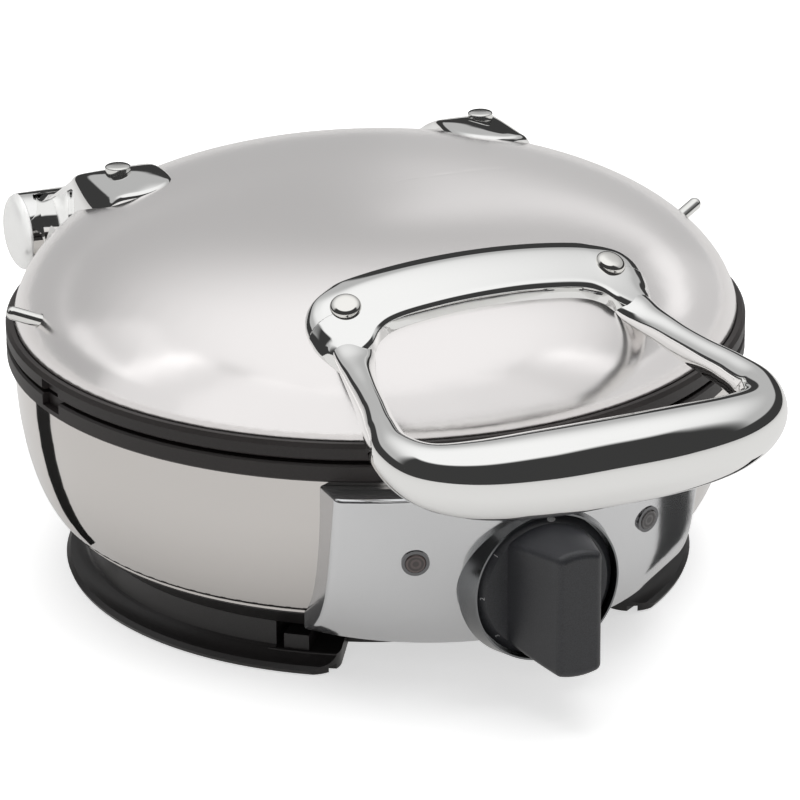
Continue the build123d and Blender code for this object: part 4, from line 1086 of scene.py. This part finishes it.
class WAFFLE_OT_hinge(bpy.types.Operator):
    """Build the two cast hinge arms, their rivets and caps, and finish the barrel"""

    bl_idname = "waffle.hinge"
    bl_label = "Hinge"

    def execute(self, context):
        sizes = context.scene.hinge_sizes
        colours = context.scene.finish_colours
        casting = steel("polished_hinge", colours.casting, roughness=0.04, uneven=0.02, lift=0.0001)
        half_metal = {"Base Color": colours.casting, "Metallic": 0.5}
        pale = finish("satin_cap", half_metal, buffed(roughness=0.25, uneven=0.03))
        bright = bpy.data.materials["polished_steel"]
        dress(casting, "hinge_barrel")
        dress(plastic("seam_washer", (0.02, 0.02, 0.02), roughness=0.5), "hinge_washers")
        right = [self.arm(), self.knuckle(sizes)]
        left = [mirrored(shell) for shell in right]
        crease = math.radians(50)
        make_piece("cast_arm_left", left, casting, "lid", ["hinge_arm_left"], crease)
        make_piece("cast_arm_right", right, casting, "lid", ["hinge_arm_right"], crease)
        cap = self.cap(sizes)
        cap_left = make_piece("domed_cap_left", [mirrored(cap)], pale, "lid", ["hinge_cap_left"])
        cap_right = make_piece("domed_cap_right", [cap], pale, "lid", ["hinge_cap_right"])
        for piece in (cap_left, cap_right):
            bpy.data.collections["dome_only"].objects.link(piece)
        rivet = self.rivet(sizes)
        heads = [rivet, mirrored(rivet)]
        make_piece("arm_rivet_heads", heads, bright, "lid", ["arm_rivets"], crease=math.radians(40))
        return {"FINISHED"}

    def arm(self):
        """A pad with steep walls and a strap that runs down to the knuckle, on the right side.

        The upper surface is the softly lower one of the line along the arm and
        the crown across it. Inner, outer and middle hold x and y in millimetres,
        along and below y and z, and across x and z.
        """
        inner = [
            (69.4, 166.0), (69.4, 150.0), (69.4, 134.0), (67.4, 118.0), (64.8, 100.0), (64.2, 88.0),
            (62.8, 78.0), (62.0, 70.0), (62.2, 62.0), (64.4, 55.2), (68.7, 49.8), (75.0, 46.7),
        ]
        outer = [
            (83.0, 46.7), (89.8, 49.2), (94.7, 53.8), (96.7, 60.2), (96.7, 72.0), (94.8, 90.0),
            (91.5, 106.0), (89.4, 124.0), (88.1, 144.0), (88.0, 166.0),
        ]
        edge = smooth_through(inner + outer, count=420)
        middle = np.array([(77.4, 62.0), (77.8, 78.0), (78.4, 100.0), (79.0, 134.0), (78.7, 156.0)])
        core_y = np.clip(edge[:, 1], middle[0, 1], middle[-1, 1])
        core = np.stack([np.interp(core_y, middle[:, 1], middle[:, 0]), core_y], axis=1)
        along = smooth_through([
            (42.5, 147.4), (47.0, 150.4), (53.0, 152.1), (62.0, 152.6), (72.0, 152.0), (82.0, 149.4),
            (94.0, 144.4), (106.0, 138.6), (124.0, 129.3), (140.0, 120.9), (152.0, 115.3),
            (166.0, 112.6),
        ], count=200)
        across = smooth_through([
            (60.5, 148.0), (63.5, 150.6), (68.0, 152.2), (74.0, 152.3), (80.8, 150.8), (86.0, 149.8),
            (90.5, 147.8), (94.0, 143.8), (97.5, 137.5),
        ], count=120)
        below = np.array([
            (42.5, 118.0), (86.0, 124.0), (95.0, 124.0), (111.0, 115.5), (124.0, 107.7), (140.0, 106.6),
            (146.0, 100.0), (152.0, 91.0), (166.0, 86.0),
        ])
        softness = 2.4

        def under(x, y):
            return np.interp(y, *below.T)

        def over(x, y):
            return softly_lower(np.interp(y, *along.T), np.interp(x, *across.T), softness)

        strap = smooth_step(edge[:, 1], 76.0, 112.0)
        width = 2.2 + 2.2 * strap
        drop = 1.9 + 1.6 * strap
        points, faces = slab(edge, core, under, over, width, drop)
        return on_body(points), faces

    def about_hinge(self, profile):
        """A profile turned about the hinge axis."""
        return grid_shell(turned(profile, (0.0, hinge_axis.y, hinge_axis.z), (1, 0, 0)))

    def knuckle(self, sizes):
        """A cylinder with a softened inner end on the hinge axis."""
        r, soft = sizes.barrel_radius, 0.5 * MM
        bore = 0.35 * r
        start, end = sizes.knuckle_start, sizes.knuckle_end
        inner_end = [(bore, start), (r - soft, start), (r, start + soft)]
        return self.about_hinge(inner_end + [(r, end), (bore, end)])

    def cap(self, sizes):
        """A shallow dome on the knuckle's end: radius = r * sin(s) ** 0.8 at end + reach * cos(s)."""
        smaller, sunk = 0.05 * MM, 0.1 * MM
        s = np.radians(np.linspace(90, 1, 30))
        radius = (sizes.barrel_radius - smaller) * np.sin(s) ** 0.8
        along = sizes.knuckle_end + sizes.cap_reach * np.cos(s)
        inner = (0.3 * radius[0], sizes.knuckle_end - sunk)
        return self.about_hinge(np.vstack([inner, np.stack([radius, along], axis=1)]))

    def rivet(self, sizes):
        """A low round head with a domed top on the pad, turned about an upright axis."""
        spot = (80.8, 74.6, 0.0)
        tall, bevel, crown_rise = 4.2 * MM, 0.3 * MM, 0.9 * MM
        r = sizes.rivet_radius
        inner, neck = 0.5 * r, 0.96 * r
        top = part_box("arm_rivets")[1][2]
        foot = top - tall
        shank = [(inner, foot), (neck, foot), (r, foot + bevel)]
        crown = rounded_top(r, top - crown_rise, top, squareness=0.5, steps=14)
        return grid_shell(turned(shank + crown, on_body(spot), (0, 0, 1), steps=64))


class WAFFLE_OT_pins(bpy.types.Operator):
    """Finish the two side pins of the dome"""

    bl_idname = "waffle.pins"
    bl_label = "Side pins"

    def execute(self, context):
        dress(bpy.data.materials["polished_steel"], "side_pin_left", "side_pin_right")
        return {"FINISHED"}


class WAFFLE_OT_controls(bpy.types.Operator):
    """Finish the panel, the dial and the two lights, and print the dial's numbers"""

    bl_idname = "waffle.controls"
    bl_label = "Controls"

    def execute(self, context):
        colours = context.scene.finish_colours
        sizes = context.scene.dial_sizes
        silver = finish("panel_silver", {"Metallic": 0.92}, self.silver(colours.panel))
        plain = plastic(
            "knob_plastic", colours.knob, roughness=0.40, grain=2000.0, depth=0.00002, coat=0.12
        )
        satin = steel("satin_metal", (0.21, 0.215, 0.22), roughness=0.20, uneven=0.05)
        ring = steel("dark_chrome", (0.17, 0.17, 0.175), roughness=0.14, uneven=0.04)
        white = plastic("white_mark", sizes.print_colour, roughness=0.6)
        dress(silver, "control_panel")
        dress(plain, "dial_knob")
        dress(satin, "knob_bezel")
        dress(ring, "lens_rings")
        dress(white, "dial_dot")
        dress(self.lens("power_lens", (0.046, 0.034, 0.032)), "power_lens")
        dress(self.lens("ready_lens", (0.042, 0.038, 0.038)), "ready_lens")
        self.numbers(context, sizes, white)
        return {"FINISHED"}

    def silver(self, colour):
        """Satin silver: a fine sparkle in the colour and a soft, even gloss."""
        flake_scale, cloud_scale = 5200.0, 18.0
        darker = shaded(colour, 0.94)
        roughness, uneven = 0.13, 0.05

        def detail(nodes):
            flake = nodes.noise(flake_scale, detail=1.0)
            cloud = nodes.noise(cloud_scale)
            mask = nodes.smooth(flake * 0.6 + cloud * 0.4, 0.3, 0.7)
            return {
                "Base Color": nodes.blend(mask, darker, tuple(colour)),
                "Roughness": (flake - 0.5) * uneven + roughness,
            }

        return detail

    def lens(self, node, tint):
        """Smoked lens with rings moulded behind it.

        The colour follows sin(waves * distance from the lens's middle).
        """
        middle = node_middle(node)
        waves = 5200.0
        lighter = shaded(tint, 2.4)

        def detail(nodes):
            ends = {0: nodes.place(), 1: tuple(middle)}
            distance = nodes.node("VectorMath", {"operation": "DISTANCE"}, ends, output="Value")
            mask = nodes.smooth((distance * waves).sine(), -0.4, 0.9)
            return {"Base Color": nodes.blend(mask, tint, lighter)}

        sockets = {"Roughness": 0.22, "Coat Weight": 0.6, "Coat Roughness": 0.05}
        return finish("smoked_" + node, sockets, detail)

    def numbers(self, context, sizes, material):
        """Plain numbers round the dial's bevel, printed as thin raised shapes."""
        first_degrees, step_degrees = -52, -39
        digits = [
            self.digit(k + 1, math.radians(first_degrees + step_degrees * k), sizes.number_height)
            for k in range(sizes.numbers)
        ]
        vertices, faces = joined(digits)
        mesh = bpy.data.meshes.new("dial_numbers")
        mesh.from_pydata(vertices, [], faces)
        mesh.materials.append(material)
        mesh.validate()
        piece = bpy.data.objects.new("dial_numbers", mesh)
        context.scene.collection.objects.link(piece)
        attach(piece, "knob")

    def digit(self, number, azimuth, height):
        """Points and faces of one digit on the bevel at an azimuth, clockwise from the top."""
        font_size = 1.35 * height
        print_depth = 0.06 * MM
        from_axis, set_back = 26.1 * MM, 1.5 * MM
        curve = bpy.data.curves.new("digit", "FONT")
        curve.body = str(number)
        curve.size = font_size
        curve.extrude = print_depth
        curve.align_x = "CENTER"
        curve.align_y = "CENTER"
        holder = bpy.data.objects.new("digit", curve)
        depsgraph = bpy.context.evaluated_depsgraph_get()
        mesh = bpy.data.meshes.new_from_object(holder.evaluated_get(depsgraph))
        points = np.empty(3 * len(mesh.vertices))
        mesh.vertices.foreach_get("co", points)
        points = points.reshape(-1, 3)
        faces = [list(face.vertices) for face in mesh.polygons]
        bpy.data.objects.remove(holder)
        bpy.data.curves.remove(curve)
        bpy.data.meshes.remove(mesh)
        radial = np.array([math.sin(azimuth), 0.0, math.cos(azimuth)])
        aside = np.array([math.cos(azimuth), 0.0, -math.sin(azimuth)])
        ahead = np.array([0.0, -1.0, 0.0])
        upward = (radial - ahead) / math.sqrt(2)
        outward = (radial + ahead) / math.sqrt(2)
        middle = np.array(dial_centre) + radial * from_axis - ahead * set_back
        placed = middle + points[:, :1] * aside + points[:, 1:2] * upward + points[:, 2:] * outward
        return placed, faces


class WAFFLE_PT_sidebar(bpy.types.Panel):
    """The steps that dress the waffle maker"""

    bl_idname = "WAFFLE_PT_sidebar"
    bl_label = "Waffle maker"
    bl_space_type = "VIEW_3D"
    bl_region_type = "UI"
    bl_category = "Waffle maker"

    def draw(self, context):
        for operator in OPERATORS:
            self.layout.operator(operator.bl_idname)
        for name in SIZE_GROUPS:
            group = getattr(context.scene, name)
            box = self.layout.box()
            box.label(text=type(group).__doc__)
            for prop in group.bl_rna.properties:
                if prop.identifier not in {"rna_type", "name"}:
                    box.prop(group, prop.identifier)


OPERATORS = (
    WAFFLE_OT_studio,
    WAFFLE_OT_body,
    WAFFLE_OT_plates,
    WAFFLE_OT_handle,
    WAFFLE_OT_hinge,
    WAFFLE_OT_pins,
    WAFFLE_OT_controls,
)
SIZE_GROUPS = {
    "dome_sizes": DomeSizes,
    "handle_sizes": HandleSizes,
    "hinge_sizes": HingeSizes,
    "dial_sizes": DialSizes,
    "finish_colours": FinishColours,
    "stage_sizes": StageSizes,
}


def register():
    """Adds the sizes, the operators and the panel to Blender."""
    for name, group in SIZE_GROUPS.items():
        bpy.utils.register_class(group)
        setattr(bpy.types.Scene, name, PointerProperty(type=group))
    for operator in OPERATORS:
        bpy.utils.register_class(operator)
    bpy.utils.register_class(WAFFLE_PT_sidebar)


def unregister():
    """Takes them out again."""
    bpy.utils.unregister_class(WAFFLE_PT_sidebar)
    for operator in reversed(OPERATORS):
        bpy.utils.unregister_class(operator)
    for name, group in reversed(SIZE_GROUPS.items()):
        delattr(bpy.types.Scene, name)
        bpy.utils.unregister_class(group)


def main():
    """Registers the add-on and dresses the object."""
    register()
    bpy.ops.waffle.studio()
    bpy.ops.waffle.body()
    bpy.ops.waffle.plates()
    bpy.ops.waffle.handle()
    bpy.ops.waffle.hinge()
    bpy.ops.waffle.pins()
    bpy.ops.waffle.controls()


if __name__ == "__main__":
    main()
